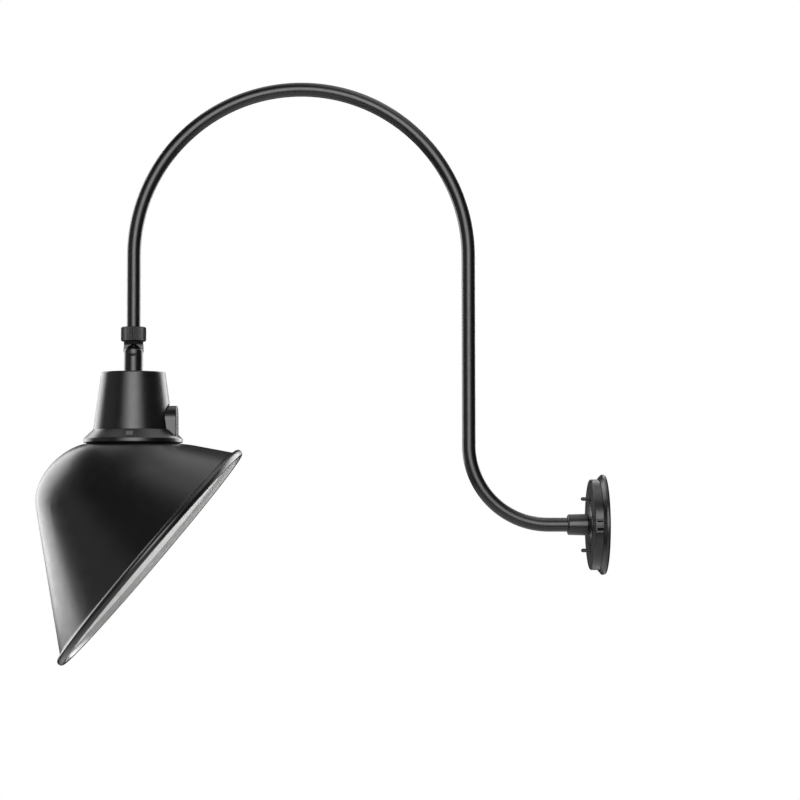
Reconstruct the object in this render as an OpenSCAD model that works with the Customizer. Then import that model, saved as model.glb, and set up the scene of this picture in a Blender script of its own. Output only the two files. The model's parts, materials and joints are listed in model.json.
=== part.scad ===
// Gooseneck wall sconce with an angle shade and a swivelling knuckle.
// The wall is the plane Y = 0 and the lamp reaches out along -Y.
// The origin is the centre of the wall plate on the wall, and +Z is up.

/* [Wall plate] */
// Diameter of the plate's flange
plate_d = 136; // [134:1:150]
// Diameter of the plate's raised drum
drum_d = 123; // [121:1:126]
// Distance from the wall to the drum's front face
plate_depth = 20; // [18:1:26]
// Wall thickness of the plate casting
plate_wall = 4; // [3:0.5:4.5]
// Thickness of the foam gasket behind the flange
gasket_t = 2; // [1.5:0.5:3]
// Straight edge of the flange
flange_edge = 2.5; // [2:0.5:3.5]
// Depth of the bevel from the flange to the drum
flange_bevel = 4; // [3:0.5:5]
// Diameter of the raised boss round the hub
boss_d = 61; // [52:1:62]
// Height of the boss above the drum's face
boss_rise = 4; // [2:0.5:5]
// Distance between the two cap nuts
stud_spacing = 69.85; // [69:0.05:76]
// Distance between the slots for the box screws
slot_spacing = 88.9; // [86:0.1:90]
// Width of the slots for the box screws
slot_w = 5; // [4.5:0.1:5.5]
// Length of the slots for the box screws, end to end
slot_len = 9; // [8:0.5:10]
// Thickness of the mounting strap
strap_t = 2.5; // [2:0.5:3.5]

/* [Arm] */
// Outer diameter of the arm's tube
tube_d = 19.05; // [17:0.05:20]
// Wall thickness of the tube
tube_wall = 1.65; // [1.2:0.05:2]
// Distance from the wall to the start of the lower bend
run_len = 76; // [66:1:110]
// Radius of the lower quarter bend at the tube's axis
bend_r = 108; // [80:1:140]
// Height of the straight riser between the two bends
riser_len = 259; // [220:1:320]
// Radius of the half-round arch at the tube's axis
arch_r = 228.6; // [200:0.1:260]
// Length of the straight drop above the swivel
drop_len = 103.3; // [80:0.1:140]
// Diameter of the hub on the wall plate
hub_d = 28; // [27:0.5:32]
// Distance from the wall to the end of the hub
hub_reach = 50.5; // [46:0.5:60]

/* [Swivel] */
// Diameter of the lock collar over its knurl
collar_d = 34.6; // [34:0.1:40]
// Length of the lock collar
collar_len = 19.5; // [19:0.5:24]
// Number of grooves in the collar's knurl
knurl_count = 48; // [24:2:60]
// Diameter of the swivel's neck
neck_d = 26.5; // [24:0.5:28]
// Width of the swivel's lug across its flat face
lug_w = 27.8; // [26:0.1:29]
// Height from the pivot to the top of the lug
lug_rise = 11.2; // [11.2:0.1:14]
// Diameter of the post under the knuckle
post_d = 26.1; // [25:0.1:27]
// Diameter of the pivot screw
pivot_d = 6; // [5:0.5:6.5]

/* [Housing] */
// Height from the top of the housing to the pivot
pivot_rise = 27; // [26:0.5:34]
// Diameter of the housing at its top
housing_top_d = 87; // [82:1:90]
// Diameter of the housing where its flare starts
cone_d = 108.8; // [107:0.1:112]
// Height of the housing's cone
cone_h = 78.5; // [72:0.5:95]
// Height of the flare under the cone
flare_h = 11.5; // [10:0.5:12.5]
// Diameter of the housing's lower band
band_d = 135; // [134:1:140]
// Height of the lower band
band_h = 6.3; // [6:0.1:9]
// Wall thickness of the housing
housing_wall = 3.5; // [3:0.5:4]
// Width of the side cover
cover_w = 49; // [44:1:50]
// Distance from the drop's axis to the side cover's face
cover_reach = 60.3; // [60:0.1:62]
// Height of the side cover above the flare
cover_h = 32.5; // [30:0.5:36]

/* [Light engine] */
// Diameter of the heat plate
heat_plate_d = 99.2; // [98:0.2:99.6]
// Thickness of the heat plate
heat_plate_t = 5; // [5:0.5:6]
// Diameter of the driver can
driver_d = 62; // [54:1:66]
// Height of the driver can
driver_h = 36; // [28:1:44]
// Diameter of the round LED board
board_d = 68; // [62:1:70]
// Depth of the lens dome below its rim
lens_sag = 15; // [10:1:20]
// Number of LED chips in the outer ring
chip_count = 12; // [6:1:16]

/* [Shade] */
// Diameter of the shade's rim over the bead
rim_d = 380; // [340:1:400]
// Diameter of the rolled bead round the rim
bead_d = 11; // [8:0.5:12]
// Thickness of the shade's spun wall
shade_wall = 1.6; // [1.2:0.1:2]
// Angle between the shade's opening and the vertical, in degrees
opening_angle = 40.2; // [36:0.2:44]
// Height from the rim's centre to the top of the shade
rim_drop = 154.5; // [148:0.5:170]
// Distance from the drop's axis to the rim's centre
rim_offset = 24; // [16:1:30]
// Diameter of the shade's flat top
shade_top_d = 128; // [124:1:130]

/* [Hidden] */

// Overrun of every cut, and the clearances between pieces
cut = 1;
fit_gap = 0.1;
turn_gap = 0.3;
slide_gap = 0.5;

// Smoothness of large and of small round shapes
$fn = 96;
fine_fn = 48;

// Colours of the finishes
black_paint = "#232425";
dark_steel = "#3c3e41";
bright_steel = "#b9bcc0";
white_enamel = "#f2f2ee";
black_rubber = "#17181a";
brass_yellow = "#b5904a";
frosted = "#e9edf0";

// Wall plate and strap
gasket_id = 110;
gasket_inset = 1;
bevel_run = 4.5;
face_edge = 1;
boss_edge = 0.8;
boss_seat_edge = 1.5;
cavity_r = drum_d / 2 - plate_wall;
strap_w = 16;
strap_edge = 3;
strap_half = slot_spacing / 2 + slot_len / 2 + strap_edge;
stud_r = 1.75;
stud_hole_r = 2.2;
stud_out = 10;
plate_nut_r = 3.4;
plate_nut_t = 1.6;
cap_nut_reach = 12.4;
cap_nut_r = 2.6;
cap_nut_len = 6.6;
cap_nut_nose = 3.2;
cap_nut_edge = 0.4;
nose_step = 15;
ground_z = 16;
ground_head_r = 4;
ground_head_t = 2.2;
ground_shank_r = 1.9;
vent_w = 24;
vent_slots = [[4, 6.2], [-7, -3.4]];
vent_ribs = [[7, 9.6], [-1.4, 2.4], [-10, -8]];
vent_rib_proud = 0.9;
vent_margin = 1.2;
vent_foam_t = 3.5;
vent_foam_half = 12;

// Hub and arm
hub_chamfer = 1.4;
hub_spigot_r = 12;
hub_spigot_in = 14;
hub_nut_r = 17;
hub_nut_t = 4;
hub_screw_r = 2.4;
hub_screw_from_end = 9;
set_screw_len = 4.2;
drop_y = -(run_len + bend_r + 2 * arch_r);
riser_y = -(run_len + bend_r);
arch_z = bend_r + riser_len;
tube_end_z = arch_z - drop_len;
tube_r = tube_d / 2;
bore_r = tube_r - tube_wall;
tube_start = plate_depth + boss_rise + cut;

// Ferrule, collar and swivel, from the tube's end down
ferrule_t = 7;
ferrule_len = 23;
wire_r = 3.6;
washer_t = 1.4;
thread_len = 5.3;
neck_below = 4;
knurl_depth = 0.7;
collar_chamfer = 1.3;
neck_r = neck_d / 2;
collar_bore_r = neck_r + fit_gap;
flange_r = collar_bore_r - turn_gap;
ferrule_z = tube_end_z - ferrule_t;
washer_z = ferrule_z - turn_gap - washer_t;
collar_z = washer_z - thread_len;
collar_screw_r = 1.4;
collar_screw_z = collar_z + collar_len / 2;
lug_top_z = collar_z - neck_below;
pivot_z = lug_top_z - lug_rise;
spigot_r = 10.5;

// Lap joint of the knuckle, its pivot along X: the lug behind, the post in front
lug_r = lug_w / 2;
lug_foot = 0.85;
lug_end_in = 0.15;
chamber_r = 11;
chamber_t = 4;
groove_low = 6.5;
pivot_r = pivot_d / 2;
pivot_washer_r = 5;
pivot_washer_t = 0.8;
pivot_nut_r = 5.5;
pivot_nut_t = 3.2;
pivot_nut_sink = 1.1;
nut_seat_x = lug_r - pivot_nut_sink - pivot_nut_t - turn_gap;
screw_end_x = nut_seat_x + turn_gap + pivot_nut_t;

// Post, its dome half an ellipse
post_r = post_d / 2;
dome_foot = 1.87;
dome_h = 6.4;
dome_step = 6;
swing_r = norm([lug_r, lug_foot]) + slide_gap;
post_wire_low = 6.2;
head_r = 5.5;
head_rise = 3.2;
head_base = 0.8;
seat_x = post_r - 1.4;
seat_r = head_r + fit_gap;
nipple_r = 8;
nipple_len = 14;
post_wire_r = 5;

// Housing, heights from the top down
housing_z = pivot_z - pivot_rise;
cone_z = housing_z - cone_h;
flare_z = cone_z - flare_h;
band_z = flare_z - band_h;
top_wall = 5;
top_round = 2.2;
band_round = 0.8;
ledge_r = 43;
recess_r = 50;
ledge_up = 12.8;
ledge_z = band_z + ledge_up;
ledge_t = 4;
cone_slope = (cone_d - housing_top_d) / 2 / cone_h;
post_nut_r = 13;
post_nut_t = 5;
post_washer_t = 1.2;

// Side cover and its seat in the housing
seat_gap = 2.5;
cover_gasket_t = 1;
cover_seat_share = 0.79;
cover_seat = cone_d / 2 * cover_seat_share;
cover_corner = 20;
cover_bevel = 1.6;
cover_wall = 3;
cover_foot = 10;
cover_screw_r = 1;
cover_head_r = 1.6;
cover_head_t = 1;
cover_screw_len = 18;
cover_top_z = cone_z + cover_h;
cover_low_z = cone_z - cover_foot;
seat_pad_t = 3.5;
screw_top_in = 6.1;
screw_pitch = 14.8;
rib_half = 4;
plug_w = 9.6;
plug_len = 8;
plug_t = 1.5;
plug_proud = 0.15;
plug_down_share = 0.5;

// Light engine
heat_z = ledge_z - heat_plate_t;
heat_screw_r = 1.5;
heat_screw_ring = (ledge_r + recess_r) / 2;
heat_screw_count = 3;
screw_head_r = 2.8;
screw_head_t = 2;
tapped_len = 3.4;
driver_ear_r = 38;
driver_ear_t = 2.5;
driver_round = 2;
board_t = 1.6;
board_screw_turn = 60;
chip_w = 3.5;
chip_t = 0.8;
lens_gasket_t = 1.5;
lens_rim_r = 43.4;
lens_rim_t = 2.5;
lens_wall = 2;
lens_ring_in = 37.2;
lens_ring_out = 49.4;
lens_ring_t = 2.8;
board_z = heat_z - board_t;
lens_gasket_z = heat_z - lens_gasket_t;
lens_rim_z = lens_gasket_z - lens_rim_t;
lens_ring_z = lens_rim_z - lens_ring_t;

// Shade, in the order of its section
shade_gasket_t = 0.8;
shade_top_z = band_z - shade_gasket_t;
lip_r = 57;
ring_in_r = 50.4;
ring_out_r = 61;
ring_t = 2;
shade_screw_r = 1.9;
shade_screw_ring = 53.7;
shade_screw_count = 4;
shade_screw_in = 7;
apex_back = 154.2;
apex_rise = 41.6;
around = 72;
along = 12;
bead_steps = 10;
rim_r = (rim_d - bead_d) / 2;
bead_r = bead_d / 2;
// Shares of the way from the rim to the cone's apex where the straight flank ends
flank_front_share = 0.62;
flank_back_share = 0.2;
// Shares of the blend's chord that its two handles take
top_handle_share = 0.3;
flank_handle_share = 0.38;
// Slope of the shade's top where it leaves the flat lip, and its gain at the sides
top_slope = 10;
side_slope = 20;
// Angle by which the top's points lead the rim's points at the sides
lead_angle = 30;

// Puts a shape drawn from the wall outwards, X across and Y up, on the wall
module from_wall() {
    rotate([90, 0, 0])
        children();
}

// Puts a shape drawn round Z = 0 on the drop's axis
module at_drop() {
    translate([0, drop_y, 0])
        children();
}

// Puts a shape drawn from the seat outwards on the side that faces the wall
module to_wall_side() {
    at_drop()
        rotate([-90, 180, 0])
            children();
}

// Flat ring with its lower face at height z
module ring(outer, inner, t, z = 0) {
    translate([0, 0, z])
        linear_extrude(t)
            difference() {
                circle(outer);
                circle(inner);
            }
}

// Copies a shape round the axis
module spread(count, radius, start = 0) {
    for (i = [0:count - 1])
        rotate(start + i * 360 / count)
            translate([radius, 0, 0])
                children();
}

// Pan-head screw whose head's underside is at z = 0 and whose shank points up
module screw(shank_r, shank_len, cap_r, cap_t) {
    cylinder(h = shank_len, r = shank_r, $fn = fine_fn);
    difference() {
        translate([0, 0, -cap_t])
            cylinder(h = cap_t, r = cap_r, $fn = fine_fn);
        translate([0, 0, -cap_t - cap_t / 2])
            cylinder(h = cap_t, r = shank_r * 0.62, $fn = 6);
    }
}

// Set screw with a hexagon socket in its outer end, along +Z
module grub(r, len) {
    difference() {
        cylinder(h = len, r = r, $fn = fine_fn);
        translate([0, 0, len - r])
            cylinder(h = r + cut, r = r * 0.55, $fn = 6);
    }
}

// Foam gasket between the plate's flange and the wall
module wall_gasket() {
    color(black_rubber)
        from_wall()
            ring(plate_d / 2 - gasket_inset, gasket_id / 2, gasket_t);
}

// Flat strap that screws to the wall box and carries the studs
module mounting_strap() {
    color(bright_steel)
        from_wall()
            linear_extrude(strap_t)
                difference() {
                    union() {
                        square([strap_w, 2 * strap_half - strap_w], center = true);
                        for (side = [-1, 1])
                            translate([0, side * (strap_half - strap_w / 2)])
                                circle(strap_w / 2, $fn = fine_fn);
                    }
                    for (side = [-1, 1])
                        translate([0, side * slot_spacing / 2])
                            box_slot();
                    for (side = [-1, 1])
                        translate([0, side * (stud_spacing / 2)])
                            circle(stud_r, $fn = fine_fn);
                    translate([0, ground_z])
                        circle(ground_shank_r, $fn = fine_fn);
                }
}

// Slot for one box screw, long way up
module box_slot() {
    square([slot_w, slot_len - slot_w], center = true);
    for (end = [-1, 1])
        translate([0, end * (slot_len - slot_w) / 2])
            circle(slot_w / 2, $fn = fine_fn);
}

// Two studs that stand on the strap and hold the plate
module canopy_studs() {
    color(dark_steel)
        from_wall()
            for (side = [-1, 1])
                translate([0, side * stud_spacing / 2, 0])
                    cylinder(h = plate_depth + stud_out, r = stud_r, $fn = fine_fn);
}

// Ground screw in the strap
module ground_screw() {
    color("#3f8f4f")
        from_wall()
            translate([0, ground_z, strap_t])
                mirror([0, 0, 1])
                    screw(ground_shank_r, strap_t, ground_head_r, ground_head_t);
}

// Profile of the plate: flange, bevel, drum, boss and the hollow behind them
module plate_profile() {
    flange_r = plate_d / 2;
    drum_r = drum_d / 2;
    edge_top = gasket_t + flange_edge;
    seat_r = hub_d / 2 + boss_seat_edge;
    edge_r = boss_d / 2;
    sink = (edge_r * edge_r + boss_edge * boss_edge - seat_r * seat_r - boss_rise * boss_rise)
        / (2 * (boss_rise - boss_edge));
    difference() {
        union() {
            polygon([
                [0, gasket_t],
                [flange_r, gasket_t],
                [flange_r, edge_top],
                [flange_r - bevel_run, edge_top + flange_bevel],
                [drum_r, edge_top + flange_bevel],
                [drum_r, plate_depth - face_edge],
                [drum_r - face_edge, plate_depth],
                [0, plate_depth]
            ]);
            intersection() {
                translate([0, plate_depth - sink])
                    circle(norm([edge_r, boss_edge + sink]));
                square([edge_r, plate_depth + boss_rise]);
            }
        }
        polygon([
            [0, 0],
            [cavity_r, 0],
            [cavity_r, plate_depth - plate_wall - face_edge],
            [cavity_r - face_edge, plate_depth - plate_wall],
            [0, plate_depth - plate_wall]
        ]);
        square([hub_spigot_r + fit_gap, plate_depth + boss_rise + cut]);
    }
}

// Cast wall plate with its side vents
module wall_plate() {
    drum_r = drum_d / 2;
    vent_low = gasket_t + flange_edge + flange_bevel + vent_margin;
    vent_high = plate_depth - face_edge - vent_margin;
    color(black_paint)
        from_wall()
            difference() {
                union() {
                    rotate_extrude()
                        plate_profile();
                    for (rib = vent_ribs)
                        intersection() {
                            translate([0, rib[0], vent_low])
                                cube([drum_r + vent_rib_proud, rib[1] - rib[0], vent_high - vent_low]);
                            ring(drum_r + vent_rib_proud, cavity_r + cut, plate_depth);
                        }
                }
                for (slot = vent_slots)
                    translate([cavity_r - cut, slot[0], vent_low])
                        cube([plate_wall + vent_rib_proud + 2 * cut, slot[1] - slot[0],
                              vent_high - vent_low]);
                for (side = [-1, 1])
                    translate([0, side * stud_spacing / 2, 0])
                        cylinder(h = plate_depth + boss_rise + cut, r = stud_hole_r, $fn = fine_fn);
            }
}

// Strip of dark foam inside the drum that closes the vents
module vent_foam() {
    outer = cavity_r - fit_gap;
    inner = cavity_r - vent_foam_t;
    front = plate_depth - plate_wall - fit_gap;
    color(black_rubber)
        from_wall()
            rotate(-vent_foam_half)
                rotate_extrude(angle = 2 * vent_foam_half)
                    polygon([
                        [inner, gasket_t],
                        [outer, gasket_t],
                        [outer, front - face_edge],
                        [outer - face_edge, front],
                        [inner, front]
                    ]);
}

// Two flat round nuts that hold the plate on its studs
module plate_nuts() {
    color(dark_steel)
        from_wall()
            for (side = [-1, 1])
                translate([0, side * stud_spacing / 2, 0])
                    ring(plate_nut_r, stud_r, plate_nut_t, plate_depth, $fn = fine_fn);
}

// Two bullet-shaped cap nuts on the ends of the studs
module cap_nuts() {
    low = cap_nut_reach - cap_nut_len;
    shoulder = cap_nut_reach - cap_nut_nose;
    color(dark_steel)
        from_wall()
            for (side = [-1, 1])
                translate([0, side * stud_spacing / 2, plate_depth])
                    difference() {
                        rotate_extrude($fn = fine_fn)
                            polygon([
                                [0, low],
                                [cap_nut_r - cap_nut_edge, low],
                                [cap_nut_r, low + cap_nut_edge],
                                for (a = [0:nose_step:90])
                                    [cap_nut_r * cos(a), shoulder + cap_nut_nose * sin(a)]
                            ]);
                        cylinder(h = stud_out, r = stud_r, $fn = fine_fn);
                    }
}

// Hub that carries the arm in the plate
module arm_hub() {
    color(black_paint)
        from_wall()
            difference() {
                union() {
                    rotate_extrude()
                        polygon([
                            [0, plate_depth + boss_rise],
                            [hub_d / 2 + hub_chamfer / 2, plate_depth + boss_rise],
                            [hub_d / 2, hub_reach - hub_chamfer],
                            [hub_d / 2 - hub_chamfer, hub_reach],
                            [0, hub_reach]
                        ]);
                    translate([0, 0, plate_depth + boss_rise - hub_spigot_in])
                        cylinder(h = hub_spigot_in + cut, r = hub_spigot_r);
                }
                translate([0, 0, tube_start])
                    cylinder(h = hub_reach, r = tube_r + fit_gap / 2);
                cylinder(h = hub_reach, r = bore_r);
                translate([0, 0, hub_reach - hub_screw_from_end])
                    rotate([90, 0, 0])
                        cylinder(h = hub_d, r = hub_screw_r, $fn = fine_fn);
            }
}

// Nut that clamps the hub behind the plate
module hub_lock_nut() {
    color(bright_steel)
        from_wall()
            difference() {
                translate([0, 0, plate_depth - plate_wall - hub_nut_t])
                    cylinder(h = hub_nut_t, r = hub_nut_r, $fn = 6);
                cylinder(h = plate_depth, r = hub_spigot_r);
            }
}

// Set screw under the hub that locks the tube
module hub_set_screw() {
    color(dark_steel)
        from_wall()
            translate([0, -(tube_r + fit_gap), hub_reach - hub_screw_from_end])
                rotate([90, 0, 0])
                    grub(hub_screw_r, set_screw_len);
}

// Solid arm of the given radius: run, quarter bend, riser, arch and drop
module arm_form(r, start, end_z) {
    translate([0, -start, 0])
        rotate([90, 0, 0])
            cylinder(h = run_len - start, r = r, $fn = fine_fn);
    translate([0, -run_len, bend_r])
        rotate([0, 90, 0])
            rotate([0, 0, -90])
                rotate_extrude(angle = 90)
                    translate([bend_r, 0])
                        circle(r, $fn = fine_fn);
    translate([0, riser_y, bend_r])
        cylinder(h = riser_len, r = r, $fn = fine_fn);
    translate([0, riser_y - arch_r, arch_z])
        rotate([0, -90, 0])
            rotate([0, 0, -90])
                rotate_extrude(angle = 180)
                    translate([arch_r, 0])
                        circle(r, $fn = fine_fn);
    translate([0, drop_y, end_z])
        cylinder(h = arch_z - end_z, r = r, $fn = fine_fn);
}

// Bent tube from the hub to the swivel
module arm_tube() {
    color(black_paint)
        difference() {
            arm_form(tube_r, tube_start, tube_end_z);
            arm_form(bore_r, tube_start - cut, tube_end_z - cut);
        }
}

// Threaded ferrule brazed into the end of the tube
module arm_ferrule() {
    color(brass_yellow)
        at_drop()
            translate([0, 0, ferrule_z])
                difference() {
                    union() {
                        cylinder(h = ferrule_t, r = flange_r);
                        cylinder(h = ferrule_len, r = bore_r, $fn = fine_fn);
                    }
                    translate([0, 0, -cut])
                        cylinder(h = ferrule_len + 2 * cut, r = wire_r, $fn = fine_fn);
                }
}

// Outline of the knurl: one shallow groove for each step round the collar
module knurl_outline() {
    outer = collar_d / 2;
    inner = outer - knurl_depth;
    step = 360 / knurl_count;
    polygon([
        for (i = [0:knurl_count - 1], k = [[0.12, outer], [0.56, outer], [0.72, inner], [0.96, inner]])
            k[1] * [cos((i + k[0]) * step), sin((i + k[0]) * step)]
    ]);
}

// Knurled collar: hangs on the ferrule's flange and screws onto the swivel's neck
module lock_collar() {
    outer = collar_d / 2;
    color(black_paint)
        at_drop()
            translate([0, 0, collar_z])
                difference() {
                    intersection() {
                        linear_extrude(collar_len)
                            knurl_outline();
                        rotate_extrude()
                            polygon([
                                [0, 0],
                                [outer - collar_chamfer, 0],
                                [outer, collar_chamfer],
                                [outer, collar_len - collar_chamfer],
                                [outer - collar_chamfer, collar_len],
                                [0, collar_len]
                            ]);
                    }
                    translate([0, 0, -cut])
                        cylinder(h = tube_end_z + turn_gap - collar_z + cut, r = collar_bore_r);
                    cylinder(h = collar_len + cut, r = tube_r + turn_gap);
                    translate([0, 0, collar_screw_z - collar_z])
                        rotate([0, 90, 0])
                            cylinder(h = collar_d, r = collar_screw_r + fit_gap / 2, $fn = fine_fn);
                }
}

// Set screw that stops the collar from turning
module collar_set_screw() {
    color(dark_steel)
        at_drop()
            translate([collar_bore_r, 0, collar_screw_z])
                rotate([0, 90, 0])
                    grub(collar_screw_r, collar_d / 2 - knurl_depth - collar_bore_r - fit_gap);
}

// Puts a shape drawn along the pivot from x, Y across and Z up, at the pivot
module at_pivot(x = 0) {
    translate([x, drop_y, pivot_z])
        rotate([90, 0, 90])
            children();
}

// Outline of the swivel's lug: two ears that widen downwards and a round end
module lug_outline() {
    intersection() {
        circle(post_r - lug_end_in);
        translate([-lug_r, lug_foot + cut - lug_w])
            square([lug_w, lug_w]);
    }
    polygon([
        [-neck_r, lug_rise],
        [-lug_r, lug_foot],
        [lug_r, lug_foot],
        [neck_r, lug_rise]
    ]);
}

// Swivel: threaded neck in the collar, spigot and the rear lug of the knuckle
module swivel_lug() {
    color(black_paint)
        difference() {
            union() {
                at_drop() {
                    translate([0, 0, collar_z])
                        cylinder(h = washer_z - collar_z, r = neck_r);
                    translate([0, 0, lug_top_z])
                        cylinder(h = neck_below + cut, r = spigot_r);
                }
                intersection() {
                    at_pivot(-lug_w)
                        linear_extrude(lug_w - turn_gap)
                            lug_outline();
                    at_drop()
                        translate([0, 0, pivot_z - lug_w])
                            cylinder(h = 2 * lug_w, r = lug_r + fit_gap);
                }
            }
            at_pivot(-turn_gap - chamber_t)
                ring(chamber_r, pivot_washer_r, chamber_t + cut);
            at_drop()
                translate([0, 0, pivot_z + groove_low])
                    cylinder(h = washer_z - pivot_z, r = wire_r, $fn = fine_fn);
            at_pivot(-lug_w)
                cylinder(h = lug_w, r = pivot_r + fit_gap, $fn = fine_fn);
            at_pivot(-lug_w)
                cylinder(h = lug_w - nut_seat_x, r = pivot_nut_r + turn_gap, $fn = fine_fn);
        }
}

// Rubber ring round the spigot, under the collar
module neck_seal() {
    color(black_rubber)
        at_drop()
            ring(neck_r, spigot_r + fit_gap, neck_below - turn_gap, lug_top_z);
}

// Slip washer between the swivel and the ferrule
module swivel_washer() {
    color(frosted)
        at_drop()
            ring(flange_r, wire_r, washer_t, washer_z);
}

// Post: a domed lug in front of the swivel's, and a threaded nipple below
module lap_post() {
    color(black_paint)
        difference() {
            at_drop() {
                rotate_extrude()
                    polygon([
                        [0, housing_z],
                        [post_r, housing_z],
                        for (a = [0:dome_step:90])
                            [post_r * cos(a), pivot_z + dome_foot + dome_h * sin(a)]
                    ]);
                translate([0, 0, housing_z - nipple_len])
                    cylinder(h = nipple_len + cut, r = nipple_r, $fn = fine_fn);
            }
            at_pivot(pivot_washer_t - post_d)
                cylinder(h = post_d, r = swing_r);
            at_drop()
                translate([0, 0, housing_z - nipple_len - cut])
                    cylinder(h = cut + nipple_len + pivot_rise - post_wire_low, r = post_wire_r,
                             $fn = fine_fn);
            at_pivot()
                cylinder(h = post_d, r = pivot_r, $fn = fine_fn);
            at_pivot(seat_x)
                cylinder(h = post_d, r = seat_r, $fn = fine_fn);
        }
}

// Thin friction washer between the two lugs
module pivot_washer() {
    color(bright_steel)
        at_pivot()
            ring(pivot_washer_r, pivot_r, pivot_washer_t);
}

// Domed pivot screw from the post's side through both lugs
module pivot_screw() {
    color(dark_steel)
        at_pivot(-screw_end_x) {
            cylinder(h = screw_end_x + seat_x + cut, r = pivot_r, $fn = fine_fn);
            translate([0, 0, screw_end_x + seat_x])
                domed_head();
        }
}

// Hexagon nut on the pivot screw, sunk in the back of the lug
module pivot_nut() {
    color(dark_steel)
        at_pivot(-screw_end_x)
            difference() {
                cylinder(h = pivot_nut_t, r = pivot_nut_r, $fn = 6);
                translate([0, 0, -cut])
                    cylinder(h = pivot_nut_t + 2 * cut, r = pivot_r, $fn = fine_fn);
            }
}

// Low domed head: a short drum under a slice of a ball
module domed_head() {
    ball_r = (head_r * head_r + head_rise * head_rise) / (2 * head_rise);
    cylinder(h = head_base, r = head_r, $fn = fine_fn);
    translate([0, 0, head_base])
        intersection() {
            translate([0, 0, head_rise - ball_r])
                sphere(ball_r);
            cylinder(h = head_rise + cut, r = head_r + cut, $fn = fine_fn);
        }
}

// Sealing washer under the housing's top wall
module post_washer() {
    color(black_rubber)
        at_drop()
            ring(post_nut_r + cut, nipple_r, post_washer_t, housing_z - top_wall - post_washer_t);
}

// Nut that clamps the post to the housing
module post_lock_nut() {
    color(bright_steel)
        at_drop()
            translate([0, 0, housing_z - top_wall - post_washer_t - post_nut_t])
                difference() {
                    cylinder(h = post_nut_t, r = post_nut_r, $fn = 6);
                    translate([0, 0, -cut])
                        cylinder(h = post_nut_t + 2 * cut, r = nipple_r, $fn = fine_fn);
                }
}

// Outer profile of the housing, radius against height above the band's foot
module housing_profile() {
    top_r = housing_top_d / 2;
    high = housing_z - band_z;
    side = [1, cone_slope] / norm([1, cone_slope]);
    round_x = top_r + top_round * (cone_slope - norm([1, cone_slope]));
    union() {
        polygon([
            [0, 0],
            [band_d / 2 - band_round, 0],
            [band_d / 2, band_round],
            [band_d / 2, band_h - band_round],
            [band_d / 2 - band_round, band_h],
            [cone_d / 2, band_h + flare_h],
            [round_x + top_round * side[0], high - top_round + top_round * side[1]],
            [round_x, high - top_round],
            [round_x, high],
            [0, high]
        ]);
        translate([round_x, high - top_round])
            circle(top_round, $fn = fine_fn);
    }
}

// Hollow of the housing above its ledge
module housing_hollow() {
    low = ledge_z + ledge_t - band_z;
    high = housing_z - band_z - top_wall;
    cone_low = cone_z - band_z;
    top_r = housing_top_d / 2 - housing_wall + top_wall * cone_slope;
    polygon([
        [0, low],
        [ledge_r, low],
        [cone_d / 2 - housing_wall, max(cone_low, low + cut)],
        [top_r, high],
        [0, high]
    ]);
}

// Outline of the side cover, width across and height up from the cone's foot
module cover_outline(grow = 0) {
    half = cover_w / 2 + grow;
    corner = cover_corner + grow;
    top = cover_h + grow;
    for (side = [-1, 1])
        translate([side * (half - corner), top - corner])
            circle(corner);
    translate([-half, -cover_foot])
        square([2 * half, top - corner + cover_foot]);
    translate([-(half - corner), -cover_foot])
        square([2 * (half - corner), top + cover_foot]);
}

// Cone and flare alone, used to keep the side cover clear of the flare
module flare_form(grow) {
    translate([0, 0, flare_z + grow])
        cylinder(h = flare_h, r1 = band_d / 2 - band_round, r2 = cone_d / 2);
    translate([0, 0, band_z - cover_foot])
        cylinder(h = band_h + cover_foot + grow, r = band_d / 2);
}

// Cast housing of the driver, with the seat of the side cover
module housing() {
    pad_w = cover_w + 4 * seat_gap;
    color(black_paint)
        difference() {
            at_drop()
                translate([0, 0, band_z])
                    rotate_extrude()
                        housing_profile();
            difference() {
                at_drop()
                    translate([0, 0, band_z])
                        rotate_extrude()
                            housing_hollow();
                translate([-pad_w / 2, drop_y + cover_seat - seat_pad_t, ledge_z])
                    cube([pad_w, band_d, cover_top_z + 2 * seat_gap - ledge_z]);
            }
            at_drop() {
                translate([0, 0, band_z - cut])
                    cylinder(h = ledge_z - band_z + cut, r = recess_r);
                translate([0, 0, ledge_z - cut])
                    cylinder(h = ledge_t + 2 * cut, r = ledge_r);
                translate([0, 0, housing_z - 2 * top_wall])
                    cylinder(h = 3 * top_wall, r = nipple_r + fit_gap, $fn = fine_fn);
                translate([0, 0, ledge_z - cut])
                    spread(heat_screw_count, heat_screw_ring)
                        cylinder(h = tapped_len + cut, r = heat_screw_r, $fn = fine_fn);
                translate([0, 0, band_z - cut])
                    spread(shade_screw_count, shade_screw_ring, 45)
                        cylinder(h = shade_screw_in + cut, r = shade_screw_r, $fn = fine_fn);
            }
            translate([0, 0, cone_z])
                to_wall_side()
                    translate([0, 0, cover_seat])
                        linear_extrude(band_d)
                            intersection() {
                                cover_outline(seat_gap);
                                translate([-band_d, 0])
                                    square(2 * band_d);
                            }
            translate([0, 0, cone_z])
                to_wall_side()
                    for (place = cover_screw_places())
                        translate([place[0], place[1], cover_reach - cover_screw_len])
                            cylinder(h = cover_screw_len, r = cover_screw_r, $fn = fine_fn);
            at_flare_plug()
                translate([-plug_len / 2, -plug_w / 2, -plug_t])
                    cube([plug_len, plug_w, plug_t + cut]);
        }
}

// Places of the side cover's screws, across and up from the cone's foot
function cover_screw_places() = [for (row = [0:2]) [0, cover_h - screw_top_in - row * screw_pitch]];

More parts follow.
